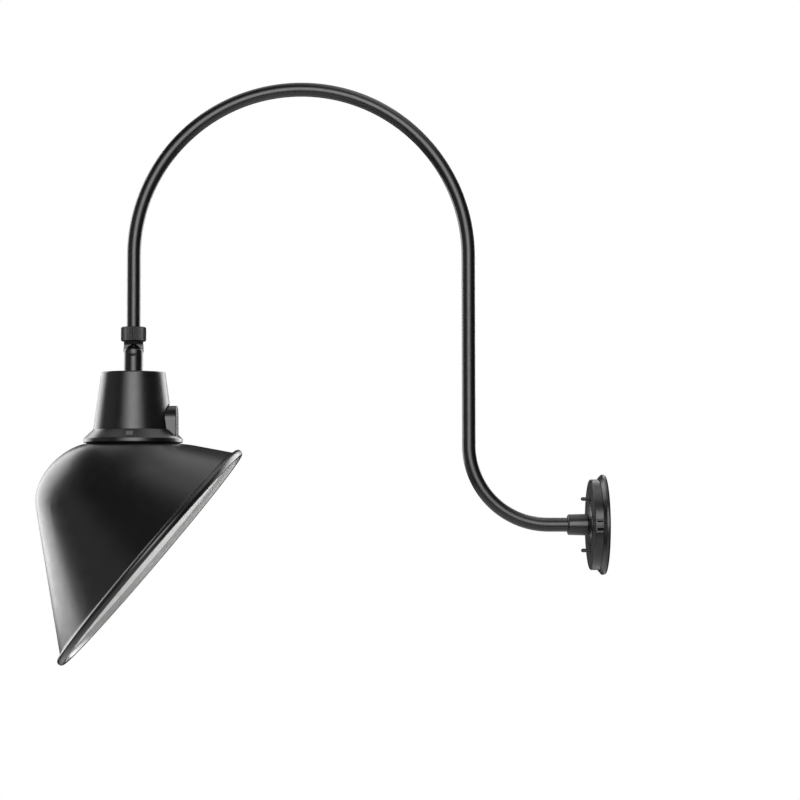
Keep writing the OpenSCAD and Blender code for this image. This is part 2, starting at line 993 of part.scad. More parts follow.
// Foam gasket under the side cover
module cover_gasket() {
    color(black_rubber)
        translate([0, 0, cone_z])
            to_wall_side()
                translate([0, 0, cover_seat])
                    linear_extrude(cover_gasket_t)
                        difference() {
                            intersection() {
                                cover_outline(-seat_gap / 2);
                                translate([-band_d, fit_gap])
                                    square(2 * band_d);
                            }
                            for (place = cover_screw_places())
                                translate(place)
                                    circle(cover_screw_r + fit_gap, $fn = fine_fn);
                        }
}

// Arched cover on the side of the housing that faces the wall
module side_cover() {
    base = cover_seat + cover_gasket_t;
    color(black_paint)
        difference() {
            translate([0, 0, cone_z])
                to_wall_side()
                    difference() {
                        union() {
                            translate([0, 0, base])
                                linear_extrude(cover_reach - base - cover_bevel)
                                    cover_outline();
                            hull() {
                                translate([0, 0, cover_reach - 2 * cover_bevel])
                                    linear_extrude(cover_bevel)
                                        cover_outline();
                                translate([0, 0, cover_reach - cut / 4])
                                    linear_extrude(cut / 4)
                                        cover_outline(-cover_bevel);
                            }
                        }
                        translate([0, 0, base - cut])
                            linear_extrude(cover_reach - base - cover_wall + cut)
                                difference() {
                                    cover_outline(-cover_wall);
                                    translate([-band_d, cover_wall - band_d])
                                        square([2 * band_d, band_d]);
                                    translate([-rib_half, 0])
                                        square([2 * rib_half, cover_h]);
                                }
                        for (place = cover_screw_places())
                            translate([place[0], place[1], base - cut])
                                cylinder(h = band_d, r = cover_screw_r + fit_gap, $fn = fine_fn);
                        for (place = cover_screw_places())
                            translate([place[0], place[1], cover_reach - cover_head_t - fit_gap])
                                cylinder(h = band_d, r = cover_head_r + fit_gap, $fn = fine_fn);
                    }
            at_drop()
                flare_form(fit_gap);
        }
}

// Three screws down the middle of the side cover
module cover_screws() {
    color(dark_steel)
        translate([0, 0, cone_z])
            to_wall_side()
                for (place = cover_screw_places())
                    translate([place[0], place[1], cover_reach - cover_head_t - fit_gap])
                        mirror([0, 0, 1])
                            screw(cover_screw_r, cover_screw_len - cover_head_t - cut, cover_head_r,
                                  cover_head_t);
}

// Frame of the small plug on the flare, +Z out of the surface and X down the slope
module at_flare_plug() {
    flare_run = (band_d - cone_d) / 2 - band_round;
    at_drop()
        translate([cone_d / 2 + flare_run * plug_down_share, 0, cone_z - flare_h * plug_down_share])
            rotate([0, atan2(flare_h, flare_run), 0])
                children();
}

// Small rectangular plug set into the flare
module flare_plug() {
    color(dark_steel)
        at_flare_plug()
            translate([-plug_len / 2 + fit_gap, -plug_w / 2 + fit_gap, -plug_t])
                cube([plug_len - 2 * fit_gap, plug_w - 2 * fit_gap, plug_t + plug_proud]);
}

// Aluminium plate that carries the board and spreads its heat
module heat_plate() {
    color(bright_steel)
        at_drop()
            translate([0, 0, heat_z])
                difference() {
                    cylinder(h = heat_plate_t, r = heat_plate_d / 2);
                    spread(heat_screw_count, heat_screw_ring)
                        translate([0, 0, -cut])
                            cylinder(h = heat_plate_t + 2 * cut, r = heat_screw_r + fit_gap, $fn = fine_fn);
                    spread(heat_screw_count, heat_screw_ring)
                        translate([0, 0, -cut])
                            cylinder(h = screw_head_t + cut, r = screw_head_r + fit_gap, $fn = fine_fn);
                    spread(4, heat_screw_ring, 45)
                        translate([0, 0, -cut])
                            cylinder(h = tapped_len + cut, r = heat_screw_r, $fn = fine_fn);
                    spread(2, driver_ear_r - screw_head_r - cut, 90)
                        translate([0, 0, heat_plate_t - tapped_len])
                            cylinder(h = tapped_len + cut, r = heat_screw_r, $fn = fine_fn);
                    spread(3, board_d / 2 - screw_head_r - cut / 2, board_screw_turn)
                        translate([0, 0, -cut])
                            cylinder(h = tapped_len - screw_head_t + cut, r = heat_screw_r, $fn = fine_fn);
                }
}

// Screws that hold the heat plate to the housing's ledge
module heat_plate_screws() {
    color(bright_steel)
        at_drop()
            translate([0, 0, heat_z + screw_head_t])
                spread(heat_screw_count, heat_screw_ring)
                    screw(heat_screw_r, heat_plate_t - screw_head_t + tapped_len, screw_head_r, screw_head_t);
}

// Potted driver on top of the heat plate
module led_driver() {
    color("#4a4c50")
        at_drop()
            translate([0, 0, ledge_z])
                difference() {
                    union() {
                        cylinder(h = driver_ear_t, r = driver_ear_r);
                        cylinder(h = driver_h - driver_round, r = driver_d / 2);
                        translate([0, 0, driver_h - driver_round])
                            cylinder(h = driver_round, r1 = driver_d / 2, r2 = driver_d / 2 - driver_round);
                    }
                    spread(2, driver_ear_r - screw_head_r - cut, 90)
                        translate([0, 0, -cut])
                            cylinder(h = driver_ear_t + 2 * cut, r = heat_screw_r + fit_gap, $fn = fine_fn);
                }
}

// Two screws through the driver's flange
module driver_screws() {
    color(bright_steel)
        at_drop()
            translate([0, 0, ledge_z + driver_ear_t])
                spread(2, driver_ear_r - screw_head_r - cut, 90)
                    mirror([0, 0, 1])
                        screw(heat_screw_r, driver_ear_t + tapped_len - cut, screw_head_r, screw_head_t);
}

// Round circuit board under the heat plate
module led_board() {
    color(white_enamel)
        at_drop()
            translate([0, 0, board_z])
                difference() {
                    cylinder(h = board_t, r = board_d / 2);
                    spread(3, board_d / 2 - screw_head_r - cut / 2, board_screw_turn)
                        translate([0, 0, -cut])
                            cylinder(h = board_t + 2 * cut, r = heat_screw_r + fit_gap, $fn = fine_fn);
                }
}

// Three screws of the board
module board_screws() {
    color(bright_steel)
        at_drop()
            translate([0, 0, board_z])
                spread(3, board_d / 2 - screw_head_r - cut / 2, board_screw_turn)
                    screw(heat_screw_r, board_t + tapped_len - screw_head_t - cut / 2, screw_head_r, chip_t);
}

// LED chips in two rings
module led_chips() {
    color("#e8d27a")
        at_drop()
            translate([0, 0, board_z - chip_t / 2]) {
                spread(chip_count, board_d / 3, 15)
                    cube([chip_w, chip_w, chip_t], center = true);
                spread(6, board_d / 6)
                    cube([chip_w, chip_w, chip_t], center = true);
            }
}

// Rubber ring that seals the lens to the heat plate
module lens_gasket() {
    color(black_rubber)
        at_drop()
            ring(lens_rim_r - cut / 2, board_d / 2 + cut, lens_gasket_t, lens_gasket_z);
}

// Frosted lens with a domed centre
module lens() {
    inner_r = lens_ring_in - turn_gap;
    ball_r = (inner_r * inner_r + lens_sag * lens_sag) / (2 * lens_sag);
    color(frosted)
        at_drop()
            translate([0, 0, lens_rim_z])
                difference() {
                    union() {
                        cylinder(h = lens_rim_t, r = lens_rim_r);
                        intersection() {
                            translate([0, 0, ball_r - lens_sag])
                                sphere(ball_r);
                            translate([0, 0, -lens_sag - cut])
                                cylinder(h = lens_sag + 2 * cut, r = inner_r);
                        }
                    }
                    intersection() {
                        translate([0, 0, ball_r - lens_sag])
                            sphere(ball_r - lens_wall);
                        translate([0, 0, -lens_sag])
                            cylinder(h = lens_sag + lens_rim_t + cut, r = inner_r - lens_wall);
                    }
                }
}

// Ring that clamps the lens, with a foot outside the lens's rim
module lens_ring() {
    color(black_paint)
        at_drop()
            difference() {
                union() {
                    ring(lens_ring_out, lens_ring_in, lens_ring_t, lens_ring_z);
                    ring(lens_ring_out, lens_rim_r + turn_gap, heat_z - lens_ring_z, lens_ring_z);
                }
                spread(4, heat_screw_ring, 45)
                    translate([0, 0, lens_ring_z - cut])
                        cylinder(h = heat_plate_t + heat_z, r = heat_screw_r + fit_gap, $fn = fine_fn);
            }
}

// Four screws of the lens ring
module lens_ring_screws() {
    color(bright_steel)
        at_drop()
            translate([0, 0, lens_ring_z])
                spread(4, heat_screw_ring, 45)
                    screw(heat_screw_r, heat_z - lens_ring_z + tapped_len - cut / 2, screw_head_r, chip_t);
}

// Thin gasket between the housing and the shade
module shade_gasket() {
    color(black_rubber)
        at_drop()
            difference() {
                ring(shade_top_d / 2 - cut / 2, ring_in_r, shade_gasket_t, shade_top_z);
                spread(shade_screw_count, shade_screw_ring, 45)
                    translate([0, 0, shade_top_z - cut])
                        cylinder(h = shade_gasket_t + 2 * cut, r = shade_screw_r + fit_gap, $fn = fine_fn);
            }
}

// Point of the rim's centre line at angle a, 0 towards the wall, from the shade's top
function rim_point(a) = [
    rim_r * sin(a),
    rim_offset + rim_r * cos(a) * sin(opening_angle),
    -rim_drop + rim_r * cos(a) * cos(opening_angle)
];

// Apex of the cone that the straight flank lies on
function apex() = [0, -apex_back, apex_rise];

// Point where the straight flank ends and the blend to the top starts
function flank_end(a) =
    let (mean = (flank_front_share + flank_back_share) / 2)
    let (swing = (flank_front_share - flank_back_share) / 2)
    rim_point(a) + (apex() - rim_point(a)) * (mean - swing * cos(a));

// Point and slope at the edge of the flat top
function top_angle(a) = a + lead_angle * sin(a);
function top_point(a) = shade_top_d / 2 * [sin(top_angle(a)), cos(top_angle(a)), 0];
function top_dip(a) = top_slope + side_slope * pow(sin(top_angle(a)), 2);
function top_way(a) = [
    sin(top_angle(a)) * cos(top_dip(a)),
    cos(top_angle(a)) * cos(top_dip(a)),
    -sin(top_dip(a))
];
function unit(v) = v / norm(v);

// Cubic blend from the top's edge to the flank, t from 0 to 1
function blend(a, t) =
    let (start = top_point(a), end = flank_end(a), chord = norm(end - start))
    let (one = start + top_handle_share * chord * top_way(a))
    let (two = end + flank_handle_share * chord * unit(apex() - rim_point(a)))
    pow(1 - t, 3) * start + 3 * pow(1 - t, 2) * t * one + 3 * (1 - t) * t * t * two + pow(t, 3) * end;

// Outer surface, t from 0 at the top's edge over 1 at the flank to 2 at the rim
function skin(a, t) = t <= 1 ? blend(a, t) : flank_end(a) + (rim_point(a) - flank_end(a)) * (t - 1);

// Outward normal of the outer surface
function skin_normal(a, t) =
    let (step = 0.01, turn = 0.5)
    let (down = skin(a, min(t + step, 2)) - skin(a, max(t - step, 0)))
    let (round = skin(a + turn, t) - skin(a - turn, t))
    unit(cross(round, down));

// Closed section at angle a: lip, outer wall, bead, inner wall and lip again
function shade_section(a) =
    let (rim = rim_point(a), up = unit(apex() - rim), out = skin_normal(a, 2))
    let (inner_turn = asin(shade_wall / bead_r))
    let (last = 2 - bead_r / norm(flank_end(a) - rim))
    let (stations = concat([for (i = [0:along]) i / along], [1 + (last - 1) / 2, last]))
    concat(
        [[lip_r * sin(top_angle(a)), lip_r * cos(top_angle(a)), 0]],
        [for (t = stations) skin(a, t)],
        [for (i = [1:bead_steps])
            let (turn = i * (360 - inner_turn) / bead_steps)
            rim + bead_r * (cos(turn) * up + sin(turn) * out)],
        [for (i = [1:len(stations) - 1])
            let (t = stations[len(stations) - 1 - i])
            skin(a, t) - shade_wall * inner_way(a, t)],
        [[lip_r * sin(top_angle(a)), lip_r * cos(top_angle(a)), -shade_wall]]
    );

// Direction of the wall's thickness: straight down at the lip, the normal elsewhere
function inner_way(a, t) = t <= 0 ? [0, 0, 1] : skin_normal(a, t);

// Spun shade: one closed section carried round from the flat top to the tilted rim
module shade() {
    sections = [for (i = [0:around - 1]) shade_section(i * 360 / around)];
    count = len(sections[0]);
    color(black_paint)
        at_drop()
            translate([0, 0, shade_top_z])
                polyhedron(
                    points = [for (section = sections) each section],
                    faces = [
                        for (i = [0:around - 1], j = [0:count - 1])
                            let (near = i * count, far = (i + 1) % around * count, next = (j + 1) % count)
                            each [[near + j, far + next, far + j], [near + j, near + next, far + next]]
                    ]
                );
}

// Ring inside the shade that clamps its lip to the housing
module shade_ring() {
    color(black_paint)
        at_drop()
            difference() {
                union() {
                    ring(ring_out_r, ring_in_r, ring_t, shade_top_z - shade_wall - ring_t);
                    ring(lip_r - turn_gap, ring_in_r, ring_t + shade_wall, shade_top_z - shade_wall - ring_t);
                }
                spread(shade_screw_count, shade_screw_ring, 45)
                    translate([0, 0, shade_top_z - shade_wall - ring_t - cut])
                        cylinder(h = ring_t + shade_wall + 2 * cut, r = shade_screw_r + fit_gap,
                                 $fn = fine_fn);
            }
}

// Four screws that hold the shade's ring
module shade_screws() {
    low = shade_top_z - shade_wall - ring_t;
    color(bright_steel)
        at_drop()
            translate([0, 0, low])
                spread(shade_screw_count, shade_screw_ring, 45)
                    screw(shade_screw_r, band_z - low + shade_screw_in - cut / 2, screw_head_r, screw_head_t);
}

wall_gasket();
mounting_strap();
canopy_studs();
ground_screw();
wall_plate();
vent_foam();
plate_nuts();
cap_nuts();
arm_hub();
hub_lock_nut();
hub_set_screw();
arm_tube();
arm_ferrule();
lock_collar();
collar_set_screw();
swivel_lug();
swivel_washer();
neck_seal();
lap_post();
pivot_washer();
pivot_screw();
pivot_nut();
post_washer();
post_lock_nut();
housing();
cover_gasket();
side_cover();
cover_screws();
flare_plug();
heat_plate();
heat_plate_screws();
led_driver();
driver_screws();
led_board();
board_screws();
led_chips();
lens_gasket();
lens();
lens_ring();
lens_ring_screws();
shade_gasket();
shade();
shade_ring();
shade_screws();
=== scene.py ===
"""Looks of a gooseneck wall sconce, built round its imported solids."""

import json
from math import asin, atan2, cos, degrees, hypot, pi, radians, sin, sqrt

import bmesh
import bpy
from bpy.props import FloatProperty, FloatVectorProperty, IntProperty, PointerProperty
from mathutils import Matrix, Vector


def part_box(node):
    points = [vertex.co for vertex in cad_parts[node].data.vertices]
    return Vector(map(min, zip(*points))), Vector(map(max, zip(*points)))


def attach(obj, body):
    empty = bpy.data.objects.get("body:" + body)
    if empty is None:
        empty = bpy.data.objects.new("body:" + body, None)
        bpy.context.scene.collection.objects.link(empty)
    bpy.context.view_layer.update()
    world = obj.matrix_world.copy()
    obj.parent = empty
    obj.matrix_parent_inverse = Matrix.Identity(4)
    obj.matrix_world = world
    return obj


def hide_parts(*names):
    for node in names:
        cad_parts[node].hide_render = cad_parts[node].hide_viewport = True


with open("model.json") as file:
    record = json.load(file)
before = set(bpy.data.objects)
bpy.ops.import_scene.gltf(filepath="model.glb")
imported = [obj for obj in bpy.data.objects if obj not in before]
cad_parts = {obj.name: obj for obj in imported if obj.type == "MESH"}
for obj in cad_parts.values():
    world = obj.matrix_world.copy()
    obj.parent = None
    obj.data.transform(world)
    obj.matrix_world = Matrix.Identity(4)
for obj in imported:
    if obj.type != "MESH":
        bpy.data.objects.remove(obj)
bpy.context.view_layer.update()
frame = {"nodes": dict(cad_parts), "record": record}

bl_info = {
    "name": "Gooseneck Wall Sconce",
    "version": (1, 0, 0),
    "blender": (4, 5, 0),
    "location": "View3D > Sidebar > Sconce",
    "description": "Builds the smooth pieces and the finishes of a gooseneck wall sconce",
    "category": "Object",
}

X, Y, Z = range(3)
ROUND = 96
WELD = 1e-6
SMALL_ROUND = 0.0003
FIT_GAP = 0.0001

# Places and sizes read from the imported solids, in metres


def low(node, axis):
    """Lowest coordinate of a solid along an axis."""
    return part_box(node)[0][axis]


def high(node, axis):
    """Highest coordinate of a solid along an axis."""
    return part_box(node)[1][axis]


def middle(node, axis):
    """Middle of a solid along an axis."""
    return (low(node, axis) + high(node, axis)) / 2


def half(node, axis):
    """Half of a solid's size along an axis."""
    return (high(node, axis) - low(node, axis)) / 2


DROP_Y = middle("lock_collar", Y)
PIVOT_Z = middle("pivot_screw", Z)
TUBE_R = half("arm_tube", X)
TUBE_FOOT = -high("arm_tube", Y)
TUBE_END_Z = high("arm_ferrule", Z)
HOUSING_LOW = low("housing", Z)
HOUSING_HIGH = high("housing", Z)
PLATE_R = high("wall_plate", Z)
HUB_REACH = -low("arm_hub", Y)
HUB_FOOT_R = high("arm_hub", X)
BOSS_FRONT = -low("wall_plate", Y)
GASKET_T = -low("wall_gasket", Y)


class SconceSizes(bpy.types.PropertyGroup):
    """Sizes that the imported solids' boxes don't tell."""

    arch_radius: FloatProperty(
        name="Arch radius", description="Radius of the arch at the tube's axis",
        default=0.2286, unit="LENGTH"
    )
    bend_radius: FloatProperty(
        name="Bend radius", description="Radius of the lower bend at the tube's axis",
        default=0.108, unit="LENGTH"
    )
    drum_radius: FloatProperty(
        name="Drum radius", description="Radius of the wall plate's drum",
        default=0.0615, unit="LENGTH"
    )
    drum_depth: FloatProperty(
        name="Drum depth", description="Distance from the wall to the drum's face",
        default=0.02, unit="LENGTH"
    )
    knurls: IntProperty(name="Knurls", description="Number of grooves round the collar", default=48)
    cone_height: FloatProperty(
        name="Cone height", description="Height of the housing's cone",
        default=0.0785, unit="LENGTH"
    )
    cone_radius: FloatProperty(
        name="Cone radius", description="Radius of the housing where its flare starts",
        default=0.0544, unit="LENGTH"
    )
    edge_round: FloatProperty(
        name="Edge rounding", description="Radius on the cast pieces' edges",
        default=0.0005, unit="LENGTH"
    )


class SconceFinishes(bpy.types.PropertyGroup):
    """Colours and gloss of the finishes, and the level of the lamps."""

    coat_color: FloatVectorProperty(
        name="Coat colour", description="Colour of the black powder coat", subtype="COLOR",
        default=(0.0032, 0.0032, 0.0034), size=3
    )
    coat_roughness: FloatProperty(
        name="Coat roughness", description="Roughness of the powder coat",
        default=0.31, min=0, max=1
    )
    enamel_color: FloatVectorProperty(
        name="Enamel colour", description="Colour of the white inside", subtype="COLOR",
        default=(0.86, 0.86, 0.85), size=3
    )
    enamel_roughness: FloatProperty(
        name="Enamel roughness", description="Roughness of the white inside",
        default=0.18, min=0, max=1
    )
    lamp_level: FloatProperty(
        name="Lamp level", description="Factor on the power of all the lamps",
        default=1.0, min=0
    )


def sizes():
    """The sizes that the user may change."""
    return bpy.context.scene.sconce_sizes


def looks():
    """The finishes that the user may change."""
    return bpy.context.scene.sconce_finishes


# Mesh helpers


def unique(items):
    """Items without repeats, in the order in which they first come."""
    return list(dict.fromkeys(items))


def verts_among(geometry):
    """Vertices in a list of mesh elements."""
    return [g for g in geometry if isinstance(g, bmesh.types.BMVert)]


def edges_among(geometry):
    """Edges in a list of mesh elements."""
    return [g for g in geometry if isinstance(g, bmesh.types.BMEdge)]


def wall_frame():
    """Turns a shape drawn along +Z, away from the wall, to point along -Y."""
    return Matrix.Rotation(pi / 2, 4, "X")


def drop_frame(height=0.0):
    """Moves a shape drawn round the origin to a height on the drop's axis."""
    return Matrix.Translation((0, DROP_Y, height))


def side_frame(height):
    """Turns a shape drawn in X and Y, thick along +Z, to face the wall at a height on the drop's axis."""
    return drop_frame(height) @ Matrix.Rotation(pi, 4, "Z") @ Matrix.Rotation(pi / 2, 4, "X")


def turned(profile, steps=ROUND, closed=False):
    """Solid of revolution round Z from (radius, height) points."""
    bm = bmesh.new()
    verts = [bm.verts.new((radius, 0, height)) for radius, height in profile]
    edges = [bm.edges.new(pair) for pair in zip(verts, verts[1:])]
    if closed:
        edges.append(bm.edges.new((verts[-1], verts[0])))
    bmesh.ops.spin(
        bm, geom=verts + edges, cent=(0, 0, 0), axis=(0, 0, 1), angle=2 * pi, steps=steps, use_merge=True
    )
    bmesh.ops.remove_doubles(bm, verts=bm.verts, dist=WELD)
    bmesh.ops.recalc_face_normals(bm, faces=bm.faces)
    return bm


def arc(radius, start, end, steps, center=(0.0, 0.0)):
    """Points of an arc in the profile's plane, angles in degrees from the radius axis."""
    angles = [radians(start + (end - start) * i / steps) for i in range(steps + 1)]
    return [(center[0] + radius * cos(a), center[1] + radius * sin(a)) for a in angles]


def slab(outline, thickness):
    """Flat piece with an outline in X and Y, from z = 0 to its thickness."""
    bm = bmesh.new()
    face = bm.faces.new([bm.verts.new((x, y, 0)) for x, y in outline])
    top = bmesh.ops.extrude_face_region(bm, geom=[face])["geom"]
    bmesh.ops.translate(bm, verts=verts_among(top), vec=(0, 0, thickness))
    bmesh.ops.recalc_face_normals(bm, faces=bm.faces)
    return bm


def block(size, center, matrix=Matrix.Identity(4)):
    """Box of a size round a centre."""
    bm = bmesh.new()
    scaled = Matrix.Translation(center) @ Matrix.Diagonal((*size, 1))
    bmesh.ops.create_cube(bm, size=1, matrix=matrix @ scaled)
    return bm


def rod(radius, length, matrix, steps=32):
    """Cylinder along +Z from the origin of a frame."""
    bm = bmesh.new()
    bmesh.ops.create_cone(
        bm, cap_ends=True, segments=steps, radius1=radius, radius2=radius, depth=length,
        matrix=matrix @ Matrix.Translation((0, 0, length / 2))
    )
    return bm


def soften(bm, width, segments=2, angle=25):
    """Rounds every edge that is sharper than an angle in degrees."""
    sharp = [e for e in bm.edges if len(e.link_faces) == 2 and e.calc_face_angle() > radians(angle)]
    bmesh.ops.bevel(
        bm, geom=sharp, offset=width, segments=segments, profile=0.5, affect="EDGES", material=-1,
        clamp_overlap=True
    )
    return bm


def joined(*parts):
    """One mesh from several closed shapes."""
    whole = parts[0]
    for part in parts[1:]:
        mesh = bpy.data.meshes.new("part")
        part.to_mesh(mesh)
        part.free()
        whole.from_mesh(mesh)
        bpy.data.meshes.remove(mesh)
    return whole


def as_object(name, bm):
    """New object with a mesh, its place in its vertices."""
    mesh = bpy.data.meshes.new(name)
    bm.to_mesh(mesh)
    bm.free()
    piece = bpy.data.objects.new(name, mesh)
    bpy.context.scene.collection.objects.link(piece)
    return piece


def carved(bm, *cutters, operation="DIFFERENCE"):
    """The shape with closed cutters taken away, or with only their common part kept."""
    piece = as_object("carved", bm)
    for cutter in cutters:
        tool = as_object("cutter", cutter)
        cut = piece.modifiers.new("Cut", "BOOLEAN")
        cut.operation = operation
        cut.solver = "EXACT"
        cut.object = tool
    evaluated = piece.evaluated_get(bpy.context.evaluated_depsgraph_get())
    result = bmesh.new()
    result.from_mesh(evaluated.to_mesh())
    evaluated.to_mesh_clear()
    for cut in list(piece.modifiers):
        bpy.data.objects.remove(cut.object)
    bpy.data.objects.remove(piece)
    bmesh.ops.remove_doubles(result, verts=result.verts, dist=WELD)
    return result


def place(name, bm, body, finish, replaces=(), matrix=None, sharp=35):
    """Makes the mesh a finished piece that rides on a body and stands for solids."""
    if matrix is not None:
        bm.transform(matrix)
    piece = as_object(name, bm)
    piece.data.shade_smooth()
    piece.data.set_sharp_from_angle(angle=radians(sharp))
    piece.data.materials.append(finish)
    even = piece.modifiers.new("Even normals", "WEIGHTED_NORMAL")
    even.keep_sharp = True
    if replaces:
        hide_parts(*replaces)
    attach(piece, body)
    return piece


# Finishes

NOISE_SPAN = (0.3, 0.7)
TINT_SPAN = (0.35, 0.65)
# Brightness factor of the bead's inner white enamel, darkened as painted shade
PAINTED_SHADE_LEVEL = 0.5


class Finish:
    """A material and short ways to add its nodes."""

    def __init__(self, name, color, roughness, metallic=0.0):
        self.material = bpy.data.materials.new(name)
        self.material.use_nodes = True
        self.tree = self.material.node_tree
        self.shader = self.tree.nodes["Principled BSDF"]
        self.set("Base Color", (*color, 1))
        self.set("Roughness", roughness)
        self.set("Metallic", metallic)
        self.coordinates = self.tree.nodes.new("ShaderNodeTexCoord").outputs["Object"]

    def set(self, socket, value):
        """Sets a constant on the shader's own socket."""
        self.shader.inputs[socket].default_value = value

    def link(self, output, target):
        """Links a node's output to a socket."""
        self.tree.links.new(output, target)

    def noise(self, scale, detail=3.0, stretch=(1, 1, 1)):
        """Noise of a size given as cycles to the metre."""
        source = self.coordinates
        if stretch != (1, 1, 1):
            mapping = self.tree.nodes.new("ShaderNodeMapping")
            mapping.inputs["Scale"].default_value = stretch
            self.link(source, mapping.inputs["Vector"])
            source = mapping.outputs["Vector"]
        node = self.tree.nodes.new("ShaderNodeTexNoise")
        node.inputs["Scale"].default_value = scale
        node.inputs["Detail"].default_value = detail
        self.link(source, node.inputs["Vector"])
        return node.outputs["Fac"]

    def spread(self, factor, low_value, high_value):
        """Maps noise to a range of values."""
        node = self.tree.nodes.new("ShaderNodeMapRange")
        node.inputs["From Min"].default_value, node.inputs["From Max"].default_value = NOISE_SPAN
        node.inputs["To Min"].default_value = low_value
        node.inputs["To Max"].default_value = high_value
        self.link(factor, node.inputs["Value"])
        return node.outputs["Result"]

    def tint(self, factor, first, second):
        """Varies the base colour between two colours."""
        ramp = self.tree.nodes.new("ShaderNodeValToRGB")
        for stop, position, color in zip(ramp.color_ramp.elements, TINT_SPAN, (first, second)):
            stop.position = position
            stop.color = (*color, 1)
        self.link(factor, ramp.inputs["Fac"])
        self.link(ramp.outputs["Color"], self.shader.inputs["Base Color"])

    def rough(self, factor, low_value, high_value):
        """Varies the roughness."""
        self.link(self.spread(factor, low_value, high_value), self.shader.inputs["Roughness"])

    def relief(self, factor, height, strength=1.0):
        """Adds a relief of a height in metres."""
        bump = self.tree.nodes.new("ShaderNodeBump")
        bump.inputs["Distance"].default_value = height
        bump.inputs["Strength"].default_value = strength
        self.link(factor, bump.inputs["Height"])
        previous = self.shader.inputs["Normal"].links
        if previous:
            self.link(previous[0].from_socket, bump.inputs["Normal"])
        self.link(bump.outputs["Normal"], self.shader.inputs["Normal"])


def shade_of(color, factor):
    """A lighter or darker version of a colour."""
    return tuple(min(1.0, c * factor) for c in color)


def powder_coat():
    """Semi-gloss black powder coat: fine orange peel and a slight drift of gloss."""
    color = tuple(looks().coat_color)
    base = looks().coat_roughness
    coat = Finish("Black powder coat", color, base)
    coat.tint(coat.noise(35, 6), shade_of(color, 0.85), shade_of(color, 1.25))
    coat.rough(coat.noise(90, 4), base * 0.92, base * 1.1)
    coat.relief(coat.noise(900, 2), 0.000006, 0.35)
    coat.relief(coat.noise(260, 1), 0.00001, 0.25)
    return coat.material


def white_enamel(name, cover=1.0):
    """Gloss white enamel with a soft waviness; a cover below one darkens it evenly as painted shade."""
    color = shade_of(looks().enamel_color, cover)
    base = looks().enamel_roughness
    enamel = Finish(name, color, base)
    enamel.tint(enamel.noise(20, 4), shade_of(color, 0.98), shade_of(color, 1.015))
    enamel.rough(enamel.noise(70, 3), base * 0.85, base * 1.2)
    enamel.relief(enamel.noise(160, 2), 0.000006, 0.3)
    return enamel.material


def black_oxide():
    """Dark steel of the small screws and nuts."""
    steel = Finish("Black oxide steel", (0.01, 0.01, 0.011), 0.4, 0.1)
    steel.tint(steel.noise(300, 5), (0.007, 0.007, 0.008), (0.014, 0.014, 0.015))
    steel.rough(steel.noise(500, 4), 0.34, 0.48)
    steel.relief(steel.noise(2500, 2), 0.000005, 0.5)
    return steel.material


def zinc_plate():
    """Bright zinc plate with fine turning marks."""
    zinc = Finish("Zinc plate", (0.62, 0.64, 0.67), 0.3, 1.0)
    zinc.tint(zinc.noise(220, 5), (0.54, 0.56, 0.6), (0.7, 0.71, 0.72))
    zinc.rough(zinc.noise(420, 4), 0.22, 0.42)
    zinc.relief(zinc.noise(1800, 2, (1, 1, 4)), 0.000006, 0.6)
    return zinc.material


def satin_aluminium():
    """Uncoated aluminium with a light grain."""
    metal = Finish("Satin aluminium", (0.76, 0.77, 0.79), 0.36, 1.0)
    metal.tint(metal.noise(90, 5), (0.7, 0.71, 0.73), (0.82, 0.83, 0.84))
    metal.rough(metal.noise(600, 4, (1, 12, 1)), 0.28, 0.46)
    metal.relief(metal.noise(1500, 2, (1, 16, 1)), 0.000006, 0.6)
    return metal.material


def turned_brass():
    """Machined brass."""
    brass = Finish("Turned brass", (0.72, 0.53, 0.24), 0.25, 1.0)
    brass.tint(brass.noise(140, 4), (0.64, 0.46, 0.2), (0.78, 0.59, 0.29))
    brass.rough(brass.noise(900, 3, (1, 1, 9)), 0.18, 0.34)
    brass.relief(brass.noise(2200, 2, (1, 1, 10)), 0.000005, 0.6)
    return brass.material


def foam_rubber():
    """Closed-cell black foam."""
    foam = Finish("Foam rubber", (0.005, 0.005, 0.005), 0.85)
    foam.set("Specular IOR Level", 0.15)
    foam.tint(foam.noise(600, 5), (0.003, 0.003, 0.003), (0.008, 0.008, 0.008))
    foam.rough(foam.noise(900, 3), 0.75, 0.95)
    foam.relief(foam.noise(1800, 3), 0.0001, 0.7)
    return foam.material


def plain_plastic(name, color, roughness, grain=700):
    """Moulded plastic with a fine grain."""
    plastic = Finish(name, color, roughness)
    plastic.tint(plastic.noise(120, 4), shade_of(color, 0.92), shade_of(color, 1.06))
    plastic.rough(plastic.noise(grain, 3), roughness * 0.85, min(1.0, roughness * 1.15))
    plastic.relief(plastic.noise(grain * 2, 2), 0.00001, 0.5)
    return plastic.material


def frosted_glass():
    """Frosted lens: white glass that lets the light through softly."""
    glass = Finish("Frosted glass", (0.93, 0.95, 0.95), 0.4)
    glass.set("Transmission Weight", 0.35)
    glass.set("IOR", 1.5)
    glass.tint(glass.noise(260, 4), (0.9, 0.92, 0.93), (0.97, 0.98, 0.98))
    glass.rough(glass.noise(1500, 3), 0.34, 0.5)
    glass.relief(glass.noise(2600, 3), 0.00002, 0.6)
    return glass.material


finishes = {}

FINISH_OF_SLOT = {
    "black_cast": "coat",
    "black_steel": "coat",
    "shade_enamel": "coat",
    "white_paint": "enamel",
    "black_plastic": "grey_plastic",
    "foam": "foam",
    "zinc_steel": "zinc",
    "ground_green": "green_paint",
    "brass": "brass",
    "nylon": "nylon",
    "bare_aluminium": "aluminium",
    "white_board": "board",
    "chip_yellow": "phosphor",
    "frosted_glass": "glass",
}


